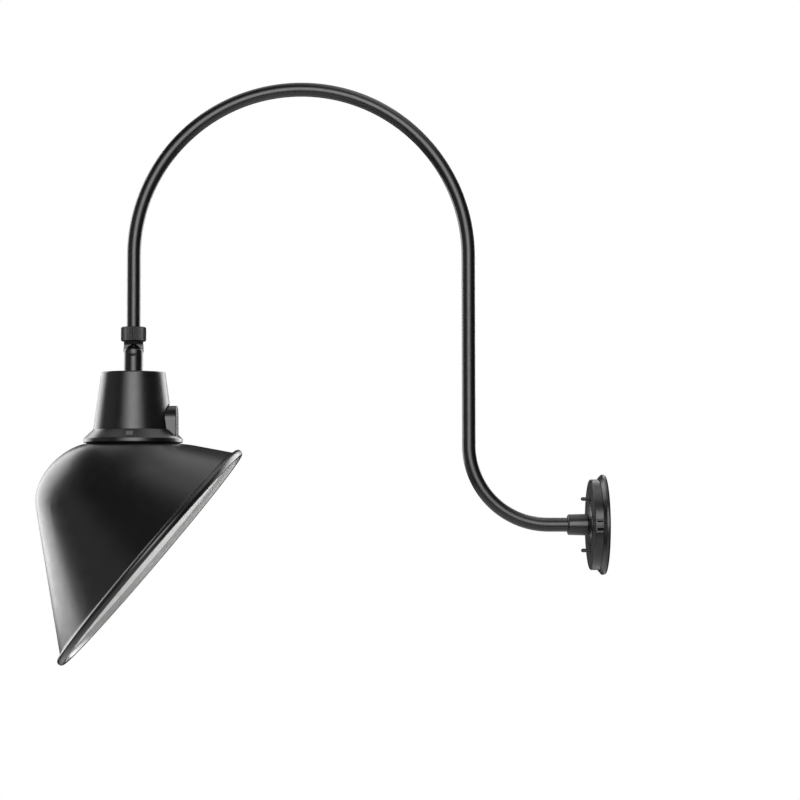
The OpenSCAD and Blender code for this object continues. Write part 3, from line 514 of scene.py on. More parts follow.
class SCONCE_OT_finishes(bpy.types.Operator):
    """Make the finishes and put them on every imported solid"""

    bl_idname = "sconce.finishes"
    bl_label = "Finishes"

    def execute(self, context):
        finishes.update(
            coat=powder_coat(),
            enamel=white_enamel("White enamel"),
            # The bead's inner part takes the white enamel darkened as painted shade
            thin_enamel=white_enamel("Enamel with painted shade", PAINTED_SHADE_LEVEL),
            oxide=black_oxide(),
            zinc=zinc_plate(),
            aluminium=satin_aluminium(),
            brass=turned_brass(),
            foam=foam_rubber(),
            grey_plastic=plain_plastic("Grey plastic", (0.09, 0.09, 0.095), 0.42),
            nylon=plain_plastic("Nylon", (0.8, 0.79, 0.74), 0.5),
            board=plain_plastic("White board", (0.88, 0.88, 0.86), 0.35),
            phosphor=plain_plastic("Phosphor", (0.92, 0.75, 0.22), 0.3),
            green_paint=plain_plastic("Green paint", (0.03, 0.24, 0.07), 0.35),
            glass=frosted_glass(),
        )
        for entry in frame["record"]["subparts"]:
            node = frame["nodes"][entry["node"]]
            node.data.materials.clear()
            node.data.materials.append(finishes[FINISH_OF_SLOT[entry["material_slot"]]])
            for face in node.data.polygons:
                face.use_smooth = False
        for name in ("hub_set_screw", "cover_screws", "canopy_studs", "pivot_nut"):
            frame["nodes"][name].data.materials[0] = finishes["oxide"]
        return {"FINISHED"}


# The wall plate and what stands on it

FLANGE_EDGE = 0.0025
FLANGE_BEVEL = 0.004
BEVEL_RUN = 0.0045
FACE_EDGE = 0.001
PLATE_WALL = 0.004
BOSS_R = 0.0305
BOSS_EDGE = 0.0008
BOSS_SEAT_EDGE = 0.0015
SPIGOT_HOLE_R = 0.0121
STUD_HOLE_R = 0.0022
VENT_SLOTS = ((0.004, 0.0062), (-0.007, -0.0034))
VENT_RIBS = ((0.007, 0.0096), (-0.0014, 0.0024), (-0.01, -0.008))
VENT_PROUD = 0.0009
VENT_MARGIN = 0.0004


def stud_height():
    """Height of the upper stud's axis above the plate's centre."""
    return high("canopy_studs", Z) - high("canopy_studs", X)


def boss_arc(seat_r, rise, steps=10):
    """Points of the boss's dome from its edge to the hub's seat, heights above the drum's face."""
    sink = (BOSS_R**2 + BOSS_EDGE**2 - seat_r**2 - rise**2) / (2 * (rise - BOSS_EDGE))
    radius = sqrt(BOSS_R**2 + (BOSS_EDGE + sink) ** 2)
    start = degrees(asin((BOSS_EDGE + sink) / radius))
    end = degrees(asin((rise + sink) / radius))
    return arc(radius, start, end, steps, (0.0, -sink))


def vent_blocks(spans, inner_r, outer_r, foot, top):
    """Blocks across the drum's side, one for each span along it."""
    return [
        block(
            (outer_r - inner_r, end - start, top - foot),
            ((outer_r + inner_r) / 2, (end + start) / 2, (top + foot) / 2),
        )
        for start, end in spans
    ]


class SCONCE_OT_wall_plate(bpy.types.Operator):
    """Wall plate: flange, bevel, drum, domed boss and side vents"""

    bl_idname = "sconce.wall_plate"
    bl_label = "Wall plate"

    def execute(self, context):
        drum_r, depth = sizes().drum_radius, sizes().drum_depth
        edge_top = GASKET_T + FLANGE_EDGE
        bevel_top = edge_top + FLANGE_BEVEL
        cavity_r = drum_r - PLATE_WALL
        dome = boss_arc(HUB_FOOT_R + BOSS_SEAT_EDGE / 2, BOSS_FRONT - depth)
        profile = [
            (cavity_r, GASKET_T),
            (PLATE_R, GASKET_T),
            (PLATE_R, edge_top),
            (PLATE_R - BEVEL_RUN, bevel_top),
            (drum_r, bevel_top),
            (drum_r, depth - FACE_EDGE),
            (drum_r - FACE_EDGE, depth),
            (BOSS_R, depth),
            *[(radius, depth + height) for radius, height in dome],
            (SPIGOT_HOLE_R, BOSS_FRONT),
            (SPIGOT_HOLE_R, depth - PLATE_WALL),
            (cavity_r, depth - PLATE_WALL),
        ]
        shell = turned(profile, closed=True)
        vent = bevel_top + VENT_MARGIN, depth - FACE_EDGE - VENT_MARGIN
        slots = vent_blocks(VENT_SLOTS, drum_r - 2 * PLATE_WALL, drum_r + 2 * PLATE_WALL, *vent)
        holes = [
            rod(STUD_HOLE_R, 2 * depth, Matrix.Translation((0, side * stud_height(), -depth / 2)))
            for side in (-1, 1)
        ]
        shell = soften(carved(shell, *slots, *holes), sizes().edge_round)
        ribs = [
            soften(rib, sizes().edge_round)
            for rib in vent_blocks(VENT_RIBS, cavity_r + PLATE_WALL / 2, drum_r + VENT_PROUD, *vent)
        ]
        place(
            "plate_casting", joined(shell, *ribs), "arm", finishes["coat"], ["wall_plate"],
            wall_frame()
        )
        return {"FINISHED"}


NUT_NOSE = 0.0032
NUT_EDGE = 0.0004
NUT_STEPS = 40


class SCONCE_OT_cap_nuts(bpy.types.Operator):
    """Two bullet-shaped cap nuts and the flat nuts under them"""

    bl_idname = "sconce.cap_nuts"
    bl_label = "Cap nuts"

    def execute(self, context):
        radius = high("cap_nuts", X)
        foot, reach = -high("cap_nuts", Y), -low("cap_nuts", Y)
        nose = [
            (radius * cos(radians(a)), reach - NUT_NOSE * (1 - sin(radians(a))))
            for a in range(0, 91, 6)
        ]
        bullet = [(0, foot), (radius - NUT_EDGE, foot), (radius, foot + NUT_EDGE), *nose]
        flat_r, flat_low, flat_top = high("plate_nuts", X), -high("plate_nuts", Y), -low("plate_nuts", Y)
        flat = [(0, flat_low), (flat_r, flat_low), (flat_r, flat_top), (0, flat_top)]
        for name, profile, solid in (("bullet_nuts", bullet, "cap_nuts"), ("flat_nuts", flat, "plate_nuts")):
            nuts = []
            for side in (-1, 1):
                nut = soften(turned(profile, NUT_STEPS), SMALL_ROUND, angle=50)
                nut.transform(Matrix.Translation((0, side * stud_height(), 0)))
                nuts.append(nut)
            place(name, joined(*nuts), "arm", finishes["oxide"], [solid], wall_frame())
        return {"FINISHED"}


HUB_CHAMFER = 0.0014
HUB_END_R = 0.014
HUB_MOUTH = 0.0006
HUB_SPIGOT_R = 0.012


class SCONCE_OT_arm_hub(bpy.types.Operator):
    """Hub that carries the tube in the plate"""

    bl_idname = "sconce.arm_hub"
    bl_label = "Arm hub"

    def execute(self, context):
        profile = [
            (0, BOSS_FRONT),
            (HUB_FOOT_R, BOSS_FRONT),
            (HUB_END_R, HUB_REACH - HUB_CHAMFER),
            (HUB_END_R - HUB_CHAMFER, HUB_REACH),
            (TUBE_R + 2 * HUB_MOUTH, HUB_REACH),
            (TUBE_R + HUB_MOUTH / 2, HUB_REACH - 2 * HUB_MOUTH),
            (0, HUB_REACH - 2 * HUB_MOUTH),
        ]
        start = -high("arm_hub", Y)
        spigot = [(0, start), (HUB_SPIGOT_R, start), (HUB_SPIGOT_R, BOSS_FRONT), (0, BOSS_FRONT)]
        hub = joined(soften(turned(profile), SMALL_ROUND), turned(spigot))
        place("hub_turning", hub, "arm", finishes["coat"], ["arm_hub"], wall_frame())
        return {"FINISHED"}


# The bent tube

TUBE_SIDES = 64
BEND_STEPS = 40
ARCH_STEPS = 112


def pushed(bm, ring, vector):
    """Extends an open ring of edges in a straight line and returns the new end."""
    new = bmesh.ops.extrude_edge_only(bm, edges=ring)["geom"]
    bmesh.ops.translate(bm, verts=verts_among(new), vec=vector)
    return edges_among(new)


def swung(bm, ring, center, angle, steps):
    """Extends an open ring of edges round an axis along X and returns the new end."""
    verts = unique(v for e in ring for v in e.verts)
    new = bmesh.ops.spin(
        bm, geom=verts + ring, cent=center, axis=(1, 0, 0), angle=angle, steps=steps, use_merge=False
    )["geom_last"]
    return edges_among(new)


class SCONCE_OT_arm_tube(bpy.types.Operator):
    """Bent tube: run, quarter bend, riser, arch and drop"""

    bl_idname = "sconce.arm_tube"
    bl_label = "Arm tube"

    def execute(self, context):
        arch_r, bend_r = sizes().arch_radius, sizes().bend_radius
        riser_y = DROP_Y + 2 * arch_r
        run_end_y = riser_y + bend_r
        arch_z = high("arm_tube", Z) - TUBE_R - arch_r
        end_z = low("arm_ferrule", Z) + (TUBE_END_Z - low("arm_ferrule", Z)) / 2
        bm = bmesh.new()
        start = bmesh.ops.create_circle(
            bm, cap_ends=True, radius=TUBE_R, segments=TUBE_SIDES,
            matrix=Matrix.Translation((0, -TUBE_FOOT, 0)) @ wall_frame()
        )
        ring = unique(e for v in start["verts"] for e in v.link_edges)
        ring = pushed(bm, ring, (0, run_end_y + TUBE_FOOT, 0))
        ring = swung(bm, ring, (0, run_end_y, bend_r), -pi / 2, BEND_STEPS)
        ring = pushed(bm, ring, (0, 0, arch_z - bend_r))
        ring = swung(bm, ring, (0, riser_y - arch_r, arch_z), pi, ARCH_STEPS)
        ring = pushed(bm, ring, (0, 0, end_z - arch_z))
        bmesh.ops.contextual_create(bm, geom=ring)
        bmesh.ops.recalc_face_normals(bm, faces=bm.faces)
        place("bent_tube", bm, "arm", finishes["coat"], ["arm_tube"], sharp=50)
        return {"FINISHED"}


# The swivel joint

COLLAR_CHAMFER = 0.0013
CHAMFER_BULGE = 0.42
KNURL_DEPTH = 0.0007
KNURL_POINTS = 8
KNURL_TROUGH = -0.55
SET_SCREW_HOLE_R = 0.0018
SET_SCREW_HOLE_START = 0.8
SOCKET_SHARE = 0.88
SOCKET_DEPTH = 1.9


def knurled(angle, radius):
    """Distance of the knurled surface from the axis at an angle."""
    wave = max(KNURL_TROUGH, cos(angle * sizes().knurls))
    return radius - KNURL_DEPTH * (1 - wave) / (1 - KNURL_TROUGH)


class SCONCE_OT_lock_collar(bpy.types.Operator):
    """Knurled collar and its set screw"""

    bl_idname = "sconce.lock_collar"
    bl_label = "Lock collar"

    def execute(self, context):
        radius = half("lock_collar", X)
        foot, top = low("lock_collar", Z), high("lock_collar", Z)
        count = sizes().knurls * KNURL_POINTS
        levels = [
            (foot, radius - COLLAR_CHAMFER),
            (foot + COLLAR_CHAMFER / 2, radius - COLLAR_CHAMFER * CHAMFER_BULGE),
            (foot + COLLAR_CHAMFER, radius),
            (top - COLLAR_CHAMFER, radius),
            (top - COLLAR_CHAMFER / 2, radius - COLLAR_CHAMFER * CHAMFER_BULGE),
            (top, radius - COLLAR_CHAMFER),
        ]
        bm = bmesh.new()
        base = bmesh.ops.create_circle(bm, cap_ends=True, radius=radius, segments=count)["verts"]
        bmesh.ops.translate(bm, verts=base, vec=(0, 0, foot))
        ring = unique(e for v in base for e in v.link_edges)
        rings = [base]
        for (below, _), (above, _) in zip(levels, levels[1:]):
            ring = pushed(bm, ring, (0, 0, above - below))
            rings.append(unique(v for e in ring for v in e.verts))
        bmesh.ops.contextual_create(bm, geom=ring)
        for verts, (_, limit) in zip(rings, levels):
            for vert in verts:
                angle = Vector((vert.co.x, vert.co.y)).angle_signed(Vector((1, 0)))
                reach = min(knurled(angle, radius), limit)
                vert.co.x, vert.co.y = reach * cos(angle), -reach * sin(angle)
        bmesh.ops.recalc_face_normals(bm, faces=bm.faces)
        bm.transform(drop_frame())
        across = drop_frame((foot + top) / 2) @ Matrix.Rotation(pi / 2, 4, "Y")
        hole_frame = across @ Matrix.Translation((0, 0, radius * SET_SCREW_HOLE_START))
        collar = carved(bm, rod(SET_SCREW_HOLE_R, radius, hole_frame))
        place("knurled_collar", collar, "collar", finishes["coat"], ["lock_collar"], sharp=50)
        screw_r = half("collar_set_screw", Z)
        start, face = low("collar_set_screw", X), high("collar_set_screw", X)
        profile = [
            (0, start),
            (screw_r, start),
            (screw_r, face),
            (SOCKET_SHARE * screw_r, face),
            (0, face - SOCKET_DEPTH * screw_r),
        ]
        place(
            "socket_screw", turned(profile, 32), "collar", finishes["oxide"],
            ["collar_set_screw"], across
        )
        return {"FINISHED"}


NECK_R = 0.01325
SPIGOT_R = 0.0105
LUG_FOOT = 0.00085
LUG_END_R = 0.0129
CHAMBER_R = 0.011
CHAMBER_T = 0.0045
CHAMBER_HUB_T = 0.0005
GROOVE_LOW = 0.0065
WIRE_R = 0.0036
NUT_POCKET_R = 0.0058
TURN_GAP = 0.0003
KNUCKLE_ROUND = 0.00035


def pivot_frame(start=0.0):
    """Frame at the pivot: X across, Y up and Z along the pivot, from a distance along it."""
    return (
        drop_frame(PIVOT_Z)
        @ Matrix.Translation((start, 0, 0))
        @ Matrix.Rotation(pi / 2, 4, "Z")
        @ Matrix.Rotation(pi / 2, 4, "X")
    )


class SCONCE_OT_swivel(bpy.types.Operator):
    """Swivel: round neck, spigot and the knuckle's rear lug"""

    bl_idname = "sconce.swivel"
    bl_label = "Swivel lug"

    def execute(self, context):
        lug_r = high("swivel_lug", Y) - DROP_Y
        face = low("pivot_washer", X) - TURN_GAP
        lug_top = low("neck_seal", Z)
        neck_low, neck_high = low("lock_collar", Z), high("swivel_lug", Z)
        bend = degrees(asin(LUG_FOOT / LUG_END_R))
        outline = [
            (NECK_R, lug_top - PIVOT_Z),
            (-NECK_R, lug_top - PIVOT_Z),
            (-lug_r, LUG_FOOT),
            *arc(LUG_END_R, 180 - bend, 360 + bend, 48),
            (lug_r, LUG_FOOT),
        ]
        lug = slab(outline, lug_r)
        lug.transform(pivot_frame(face - lug_r))
        barrel = rod(lug_r, 4 * lug_r, drop_frame(PIVOT_Z - 2 * lug_r), ROUND)
        lug = carved(lug, barrel, operation="INTERSECT")
        hub_r = half("pivot_washer", Z)
        chamber = turned(
            [(hub_r, -CHAMBER_HUB_T), (CHAMBER_R, -CHAMBER_T), (CHAMBER_R, CHAMBER_T), (hub_r, CHAMBER_T)],
            closed=True,
        )
        chamber.transform(pivot_frame(face))
        groove = rod(WIRE_R, 2 * lug_r, drop_frame(PIVOT_Z + GROOVE_LOW))
        pocket = rod(NUT_POCKET_R, lug_r, pivot_frame(high("pivot_nut", X) + TURN_GAP - lug_r))
        lug = soften(carved(lug, chamber, groove, pocket), KNUCKLE_ROUND, 3)
        profile = [
            (0, lug_top),
            (SPIGOT_R, lug_top),
            (SPIGOT_R, neck_low),
            (NECK_R, neck_low),
            (NECK_R, neck_high),
            (0, neck_high),
        ]
        neck = turned(profile)
        neck.transform(drop_frame())
        place("swivel_casting", joined(lug, neck), "swivel", finishes["coat"], ["swivel_lug"])
        return {"FINISHED"}


DOME_FOOT = 0.00187
DOME_STEPS = 24
SWING_GAP = 0.0005
HEAD_SEAT = 0.0014
NIPPLE_HOLE_R = 0.0081


class SCONCE_OT_lap_post(bpy.types.Operator):
    """Post: round below, a domed lug in front and the screw's seat"""

    bl_idname = "sconce.lap_post"
    bl_label = "Lap post"

    def execute(self, context):
        radius = high("lap_post", X)
        foot, top = low("lap_post", Z), high("lap_post", Z)
        nipple_r = NIPPLE_HOLE_R - FIT_GAP
        dome_z = PIVOT_Z + DOME_FOOT
        quarter = [pi / 2 * i / DOME_STEPS for i in range(DOME_STEPS + 1)]
        profile = [
            (0, foot),
            (nipple_r, foot),
            (nipple_r, HOUSING_HIGH),
            (radius, HOUSING_HIGH),
            *[(radius * cos(a), dome_z + (top - dome_z) * sin(a)) for a in quarter],
        ]
        post = turned(profile)
        post.transform(drop_frame())
        swing_r = hypot(high("swivel_lug", Y) - DROP_Y, LUG_FOOT) + SWING_GAP
        swing = rod(swing_r, 2 * radius, pivot_frame(high("pivot_washer", X) - 2 * radius), ROUND)
        head_r = half("pivot_screw", Z)
        seat = rod(head_r + FIT_GAP, radius, pivot_frame(radius - HEAD_SEAT), 48)
        post = carved(soften(carved(post, swing), KNUCKLE_ROUND, 3), seat)
        place("domed_post", post, "head", finishes["coat"], ["lap_post"])
        return {"FINISHED"}


HEAD_BASE = 0.0009
HEAD_RISE = 0.001
HEAD_ROUND = 0.0002
SHANK_R = 0.003


class SCONCE_OT_pivot_screw(bpy.types.Operator):
    """Pivot screw with a low domed head"""

    bl_idname = "sconce.pivot_screw"
    bl_label = "Pivot screw"

    def execute(self, context):
        head_r = half("pivot_screw", Z)
        end = low("pivot_screw", X)
        seat = high("lap_post", X) - HEAD_SEAT
        ball = (head_r**2 + HEAD_RISE**2) / (2 * HEAD_RISE)
        edge = degrees(asin((ball - HEAD_RISE) / ball))
        profile = [
            (0, end),
            (SHANK_R, end),
            (SHANK_R, seat),
            (head_r, seat),
            *arc(ball, edge, 90, 14, (0.0, seat + HEAD_BASE + HEAD_RISE - ball)),
        ]
        screw = soften(turned(profile, 64), HEAD_ROUND)
        place("pivot_head", screw, "head", finishes["coat"], ["pivot_screw"], pivot_frame())
        return {"FINISHED"}


# The housing and its side cover

BAND_H = 0.0063
BAND_ROUND = 0.0008
TOP_ROUND = 0.0022
TOP_R = 0.0435
RECESS_R = 0.05
LEDGE_R = 0.043
LEDGE_T = 0.004
HOUSING_TOP_T = 0.005
INNER_R = 0.0394
SEAT_GAP = 0.0025
COVER_CORNER = 0.02
COVER_FOOT = 0.01
COVER_BEVEL = 0.0016
COVER_SCREW_SINK = 0.001
FLARE_FOOT = 0.02
HOUSING_STEPS = 128
PLUG_LEN = 0.008
PLUG_W = 0.0096
PLUG_T = 0.0015
PLUG_PROUD = 0.00015


def cone_foot():
    """Height of the cone's foot, where the flare starts."""
    return HOUSING_HIGH - sizes().cone_height


def cover_outline(grow=0.0, foot=-COVER_FOOT):
    """Arched outline of the side cover, heights from the cone's foot."""
    side = half("side_cover", X) + grow
    top = high("side_cover", Z) - cone_foot() + grow
    corner = COVER_CORNER + grow
    right = arc(corner, 0, 90, 16, (side - corner, top - corner))
    left = arc(corner, 90, 180, 16, (corner - side, top - corner))
    return [(side, foot), *right, *left, (-side, foot)]


def plug_frame():
    """Frame of the small plug: +Z out of the flare, X down its slope."""
    band_r = half("housing", X)
    run = band_r - BAND_ROUND - sizes().cone_radius
    drop = cone_foot() - HOUSING_LOW - BAND_H
    middle_of_flare = Matrix.Translation((sizes().cone_radius + run / 2, 0, cone_foot() - drop / 2))
    slope = Vector((run, -drop)).angle_signed(Vector((1, 0)))
    return drop_frame() @ middle_of_flare @ Matrix.Rotation(abs(slope), 4, "Y")


class SCONCE_OT_housing(bpy.types.Operator):
    """Housing: cone with a rounded top, flare, band and the side cover's seat"""

    bl_idname = "sconce.housing"
    bl_label = "Housing"

    def execute(self, context):
        band_r = half("housing", X)
        cone_r, foot_z = sizes().cone_radius, cone_foot()
        slope = (cone_r - TOP_R) / sizes().cone_height
        round_x = TOP_R + TOP_ROUND * (slope - sqrt(1 + slope**2))
        lean = degrees(asin(slope / sqrt(1 + slope**2)))
        ledge_z = high("heat_plate", Z)
        ceiling = HOUSING_HIGH - HOUSING_TOP_T
        profile = [
            (RECESS_R, HOUSING_LOW),
            (band_r - BAND_ROUND, HOUSING_LOW),
            (band_r, HOUSING_LOW + BAND_ROUND),
            (band_r, HOUSING_LOW + BAND_H - BAND_ROUND),
            (band_r - BAND_ROUND, HOUSING_LOW + BAND_H),
            (cone_r, foot_z),
            *arc(TOP_ROUND, lean, 90, 6, (round_x, HOUSING_HIGH - TOP_ROUND)),
            (NIPPLE_HOLE_R, HOUSING_HIGH),
            (NIPPLE_HOLE_R, ceiling),
            (INNER_R, ceiling),
            (INNER_R, ledge_z + LEDGE_T),
            (LEDGE_R, ledge_z + LEDGE_T),
            (LEDGE_R, ledge_z),
            (RECESS_R, ledge_z),
        ]
        shell = turned(profile, HOUSING_STEPS, closed=True)
        shell.transform(drop_frame())
        seat_y = low("cover_gasket", Y) - DROP_Y
        pocket = slab(cover_outline(SEAT_GAP, 0.0), band_r)
        pocket.transform(side_frame(foot_z) @ Matrix.Translation((0, 0, seat_y)))
        recess = block((PLUG_LEN, PLUG_W, 2 * PLUG_T), (0, 0, 0), plug_frame())
        shell = soften(carved(shell, pocket, recess), sizes().edge_round * 0.8, angle=28)
        place("housing_casting", shell, "head", finishes["coat"], ["housing"], sharp=40)
        return {"FINISHED"}


class SCONCE_OT_side_cover(bpy.types.Operator):
    """Side cover with its bevelled face and the screws' recesses"""

    bl_idname = "sconce.side_cover"
    bl_label = "Side cover"

    def execute(self, context):
        base = high("cover_gasket", Y) - DROP_Y
        reach = high("side_cover", Y) - DROP_Y
        foot_z = cone_foot()
        cover = slab(cover_outline(), reach - base)
        front = [e for e in cover.edges if all(v.co.z > (reach - base) / 2 for v in e.verts)]
        bmesh.ops.bevel(
            cover, geom=front, offset=COVER_BEVEL, segments=3, profile=0.5, affect="EDGES", material=-1
        )
        cover.transform(side_frame(foot_z) @ Matrix.Translation((0, 0, base)))
        band_r = half("housing", X)
        profile = [
            (0, HOUSING_LOW - FLARE_FOOT),
            (band_r, HOUSING_LOW - FLARE_FOOT),
            (band_r - BAND_ROUND, HOUSING_LOW + BAND_H + FIT_GAP),
            (sizes().cone_radius, foot_z + FIT_GAP),
            (0, foot_z + FIT_GAP),
        ]
        flare = turned(profile, HOUSING_STEPS)
        flare.transform(drop_frame())
        head_r = half("cover_screws", X)
        top, bottom = high("cover_screws", Z) - head_r, low("cover_screws", Z) + head_r
        outward = Matrix.Rotation(-pi / 2, 4, "X")
        outward @= Matrix.Translation((0, 0, high("cover_screws", Y) - DROP_Y - COVER_SCREW_SINK))
        recesses = [
            rod(head_r + FIT_GAP, reach, drop_frame(height) @ outward)
            for height in (top, (top + bottom) / 2, bottom)
        ]
        cover = soften(carved(cover, flare, *recesses), SMALL_ROUND, 1, 40)
        place("arched_cover", cover, "head", finishes["coat"], ["side_cover"])
        plug = block(
            (PLUG_LEN - 2 * FIT_GAP, PLUG_W - 2 * FIT_GAP, PLUG_T + PLUG_PROUD),
            (0, 0, (PLUG_PROUD - PLUG_T) / 2),
        )
        place(
            "flare_insert", soften(plug, SMALL_ROUND), "head", finishes["grey_plastic"],
            ["flare_plug"], plug_frame()
        )
        return {"FINISHED"}


# The shade

# Angles round the bead between which it takes the white enamel darkened as painted shade
WHITE_FROM, WHITE_TO = -143, -45
RIM_TILT = 40.2
BEAD_R = 0.0055
BEAD_REACH = 1.03
SUPPORT_HEIGHTS = (1.5, 2.6, 5.5)
PAINT_EDGE = -0.8
PAINT_EDGE_SWELL = 1.035
SHADE_WELD = 1e-5
HOLLOW_SHIFT = 0.01


def rim_frame():
    """Centre of the rim, its direction up the slope, and its opening's direction."""
    tilt = radians(RIM_TILT)
    up_slope = Vector((0, sin(tilt), cos(tilt)))
    opening = Vector((0, cos(tilt), -sin(tilt)))
    rim_r = high("shade", X) - BEAD_R
    center_y = high("shade", Y) - BEAD_R - rim_r * sin(tilt)
    center_z = low("shade", Z) + BEAD_R + rim_r * cos(tilt)
    return Vector((0, center_y, center_z)), up_slope, opening, rim_r


def paint_of(face, inner_point, center, up_slope, opening, rim_r):
    """Paint of a face: 0 for the black outside, 1 for the white hollow, 2 for the bead's inner part in white
    enamel darkened as painted shade.
    """
    spot = face.calc_center_median()
    offset = spot - center
    radial = hypot(offset.x, offset.dot(up_slope)) - rim_r
    height = -offset.dot(opening)
    if hypot(radial, height) < BEAD_REACH * BEAD_R:
        return 2 if WHITE_FROM < degrees(atan2(radial, height)) < WHITE_TO else 0
    return int(face.normal.dot(spot - inner_point) < 0)


def swell(vert, center, up_slope, rim_r):
    """Moves a vertex on a flat of the bead out to its round."""
    offset = vert.co - center
    ring = Vector((offset.x, 0, 0)) + up_slope * offset.dot(up_slope)
    axis = center + ring.normalized() * rim_r
    vert.co = axis + (vert.co - axis) * PAINT_EDGE_SWELL


class SCONCE_OT_shade(bpy.types.Operator):
    """Spun shade: black outside, white inside, with a rolled bead"""

    bl_idname = "sconce.shade"
    bl_label = "Shade"

    def execute(self, context):
        bm = bmesh.new()
        bm.from_mesh(frame["nodes"]["shade"].data)
        bmesh.ops.remove_doubles(bm, verts=bm.verts, dist=SHADE_WELD)
        bmesh.ops.join_triangles(
            bm, faces=bm.faces, angle_face_threshold=radians(40), angle_shape_threshold=radians(180)
        )
        rim = rim_frame()
        center, up_slope, opening, rim_r = rim
        for reach in (*SUPPORT_HEIGHTS, PAINT_EDGE):
            cut = bmesh.ops.bisect_plane(
                bm, geom=[*bm.verts, *bm.edges, *bm.faces], dist=WELD,
                plane_co=center - opening * reach * BEAD_R, plane_no=opening
            )
        for vert in unique(verts_among(cut["geom_cut"])):
            swell(vert, center, up_slope, rim_r)
        bm.normal_update()
        inner_point = Vector((0, center.y - HOLLOW_SHIFT, (center.z + high("shade", Z)) / 2))
        for face in bm.faces:
            face.material_index = paint_of(face, inner_point, *rim)
        piece = as_object("spun_shade", bm)
        piece.data.shade_smooth()
        # Finishes by paint index: black coat, white enamel, and white enamel darkened as painted shade
        for paint in ("coat", "enamel", "thin_enamel"):
            piece.data.materials.append(finishes[paint])
        smooth = piece.modifiers.new("Smooth", "SUBSURF")
        smooth.levels = smooth.render_levels = 2
        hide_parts("shade")
        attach(piece, "head")
        return {"FINISHED"}


# The light engine's visible pieces

LENS_WALL = 0.002
LENS_RIM_T = 0.0025
LENS_DOME_R = 0.0369
LENS_STEPS = 24


class SCONCE_OT_lens(bpy.types.Operator):
    """Domed lens under the light engine"""

    bl_idname = "sconce.lens"
    bl_label = "Lens"

    def execute(self, context):
        rim_r, rim_top = half("lens", X), high("lens", Z)
        bottom = low("lens", Z)
        rim_low = low("lens_gasket", Z) - LENS_RIM_T
        sag = rim_low - bottom
        ball = (LENS_DOME_R**2 + sag**2) / (2 * sag)
        center = (0.0, bottom + ball)
        outer = arc(ball, -90, -degrees(asin((ball - sag) / ball)), LENS_STEPS, center)
        inner_ball = ball - LENS_WALL
        inner_r = LENS_DOME_R - LENS_WALL
        inner_end = -degrees(asin(sqrt(inner_ball**2 - inner_r**2) / inner_ball))
        inner = arc(inner_ball, inner_end, -90, LENS_STEPS, center)
        lens = turned([*outer, (rim_r, rim_low), (rim_r, rim_top), (inner_r, rim_top), *inner])
        place("domed_lens", lens, "head", finishes["glass"], ["lens"], drop_frame())
        return {"FINISHED"}


# The stage

CAMERA_PLACE = (3.0532, -0.3835, 0.0308)
CAMERA_PITCH = 92.604
CAMERA_TURN = 90
FOCAL = 100.935
SENSOR = 36
SHIFT_X = 0.0969
FLOOR_DROP = 1.0
FLOOR_R = 2.2
WORLD_LIGHT = 0.04
BACKDROP = 1.0

# Name, place, size and radiance of each soft lamp
LAMPS = (
    ("Front lamp", (3.7, -0.4, 0.95), (4.2, 3.0), 2.5),
    ("Key lamp", (3.6, -0.4, 0.95), (2.0, 2.6), 3.9),
    ("Left rim lamp", (-2.05, -2.83, 0.87), (2.4, 2.8), 4.1),
    ("Right rim lamp", (-2.25, 1.35, 0.95), (2.1, 2.7), 4.8),
    ("Top lamp", (-1.2, -0.4, 3.1), (3.6, 2.8), 1.1),
    ("Top right lamp", (0.5, 0.6, 2.5), (1.8, 1.6), 1.5),
    ("Left fill lamp", (1.4, -4.2, 0.6), (2.6, 3.0), 0.35),
)
LAMP_TARGET = (0, -0.4, 0.2)


def soft_lamp(name, place_at, size, radiance):
    """Large soft lamp that faces the part."""
    data = bpy.data.lights.new(name, "AREA")
    data.shape = "RECTANGLE"
    data.size, data.size_y = size
    data.energy = pi * size[0] * size[1] * radiance * looks().lamp_level
    lamp = bpy.data.objects.new(name, data)
    lamp.location = place_at
    lamp.rotation_euler = (Vector(LAMP_TARGET) - Vector(place_at)).to_track_quat("-Z", "Y").to_euler()
    lamp.visible_camera = False
    bpy.context.scene.collection.objects.link(lamp)


def set_camera(scene):
    """Camera at the side of the lamp, nearly level with its shade."""
    data = bpy.data.cameras.new("Camera")
    data.sensor_width, data.lens, data.shift_x = SENSOR, FOCAL, SHIFT_X
    camera = bpy.data.objects.new("Camera", data)
    camera.location = CAMERA_PLACE
    camera.rotation_euler = (radians(CAMERA_PITCH), 0, radians(CAMERA_TURN))
    scene.collection.objects.link(camera)
    scene.camera = camera


def lay_floor():
    """Pale round floor far below the part."""
    bm = bmesh.new()
    bmesh.ops.create_circle(
        bm, cap_ends=True, radius=FLOOR_R, segments=ROUND,
        matrix=Matrix.Translation((0, DROP_Y / 2, low("shade", Z) - FLOOR_DROP))
    )
    floor = as_object("floor", bm)
    paint = Finish("Floor", (0.82, 0.82, 0.82), 0.9)
    paint.tint(paint.noise(6, 4), (0.81, 0.81, 0.81), (0.83, 0.83, 0.83))
    floor.data.materials.append(paint.material)


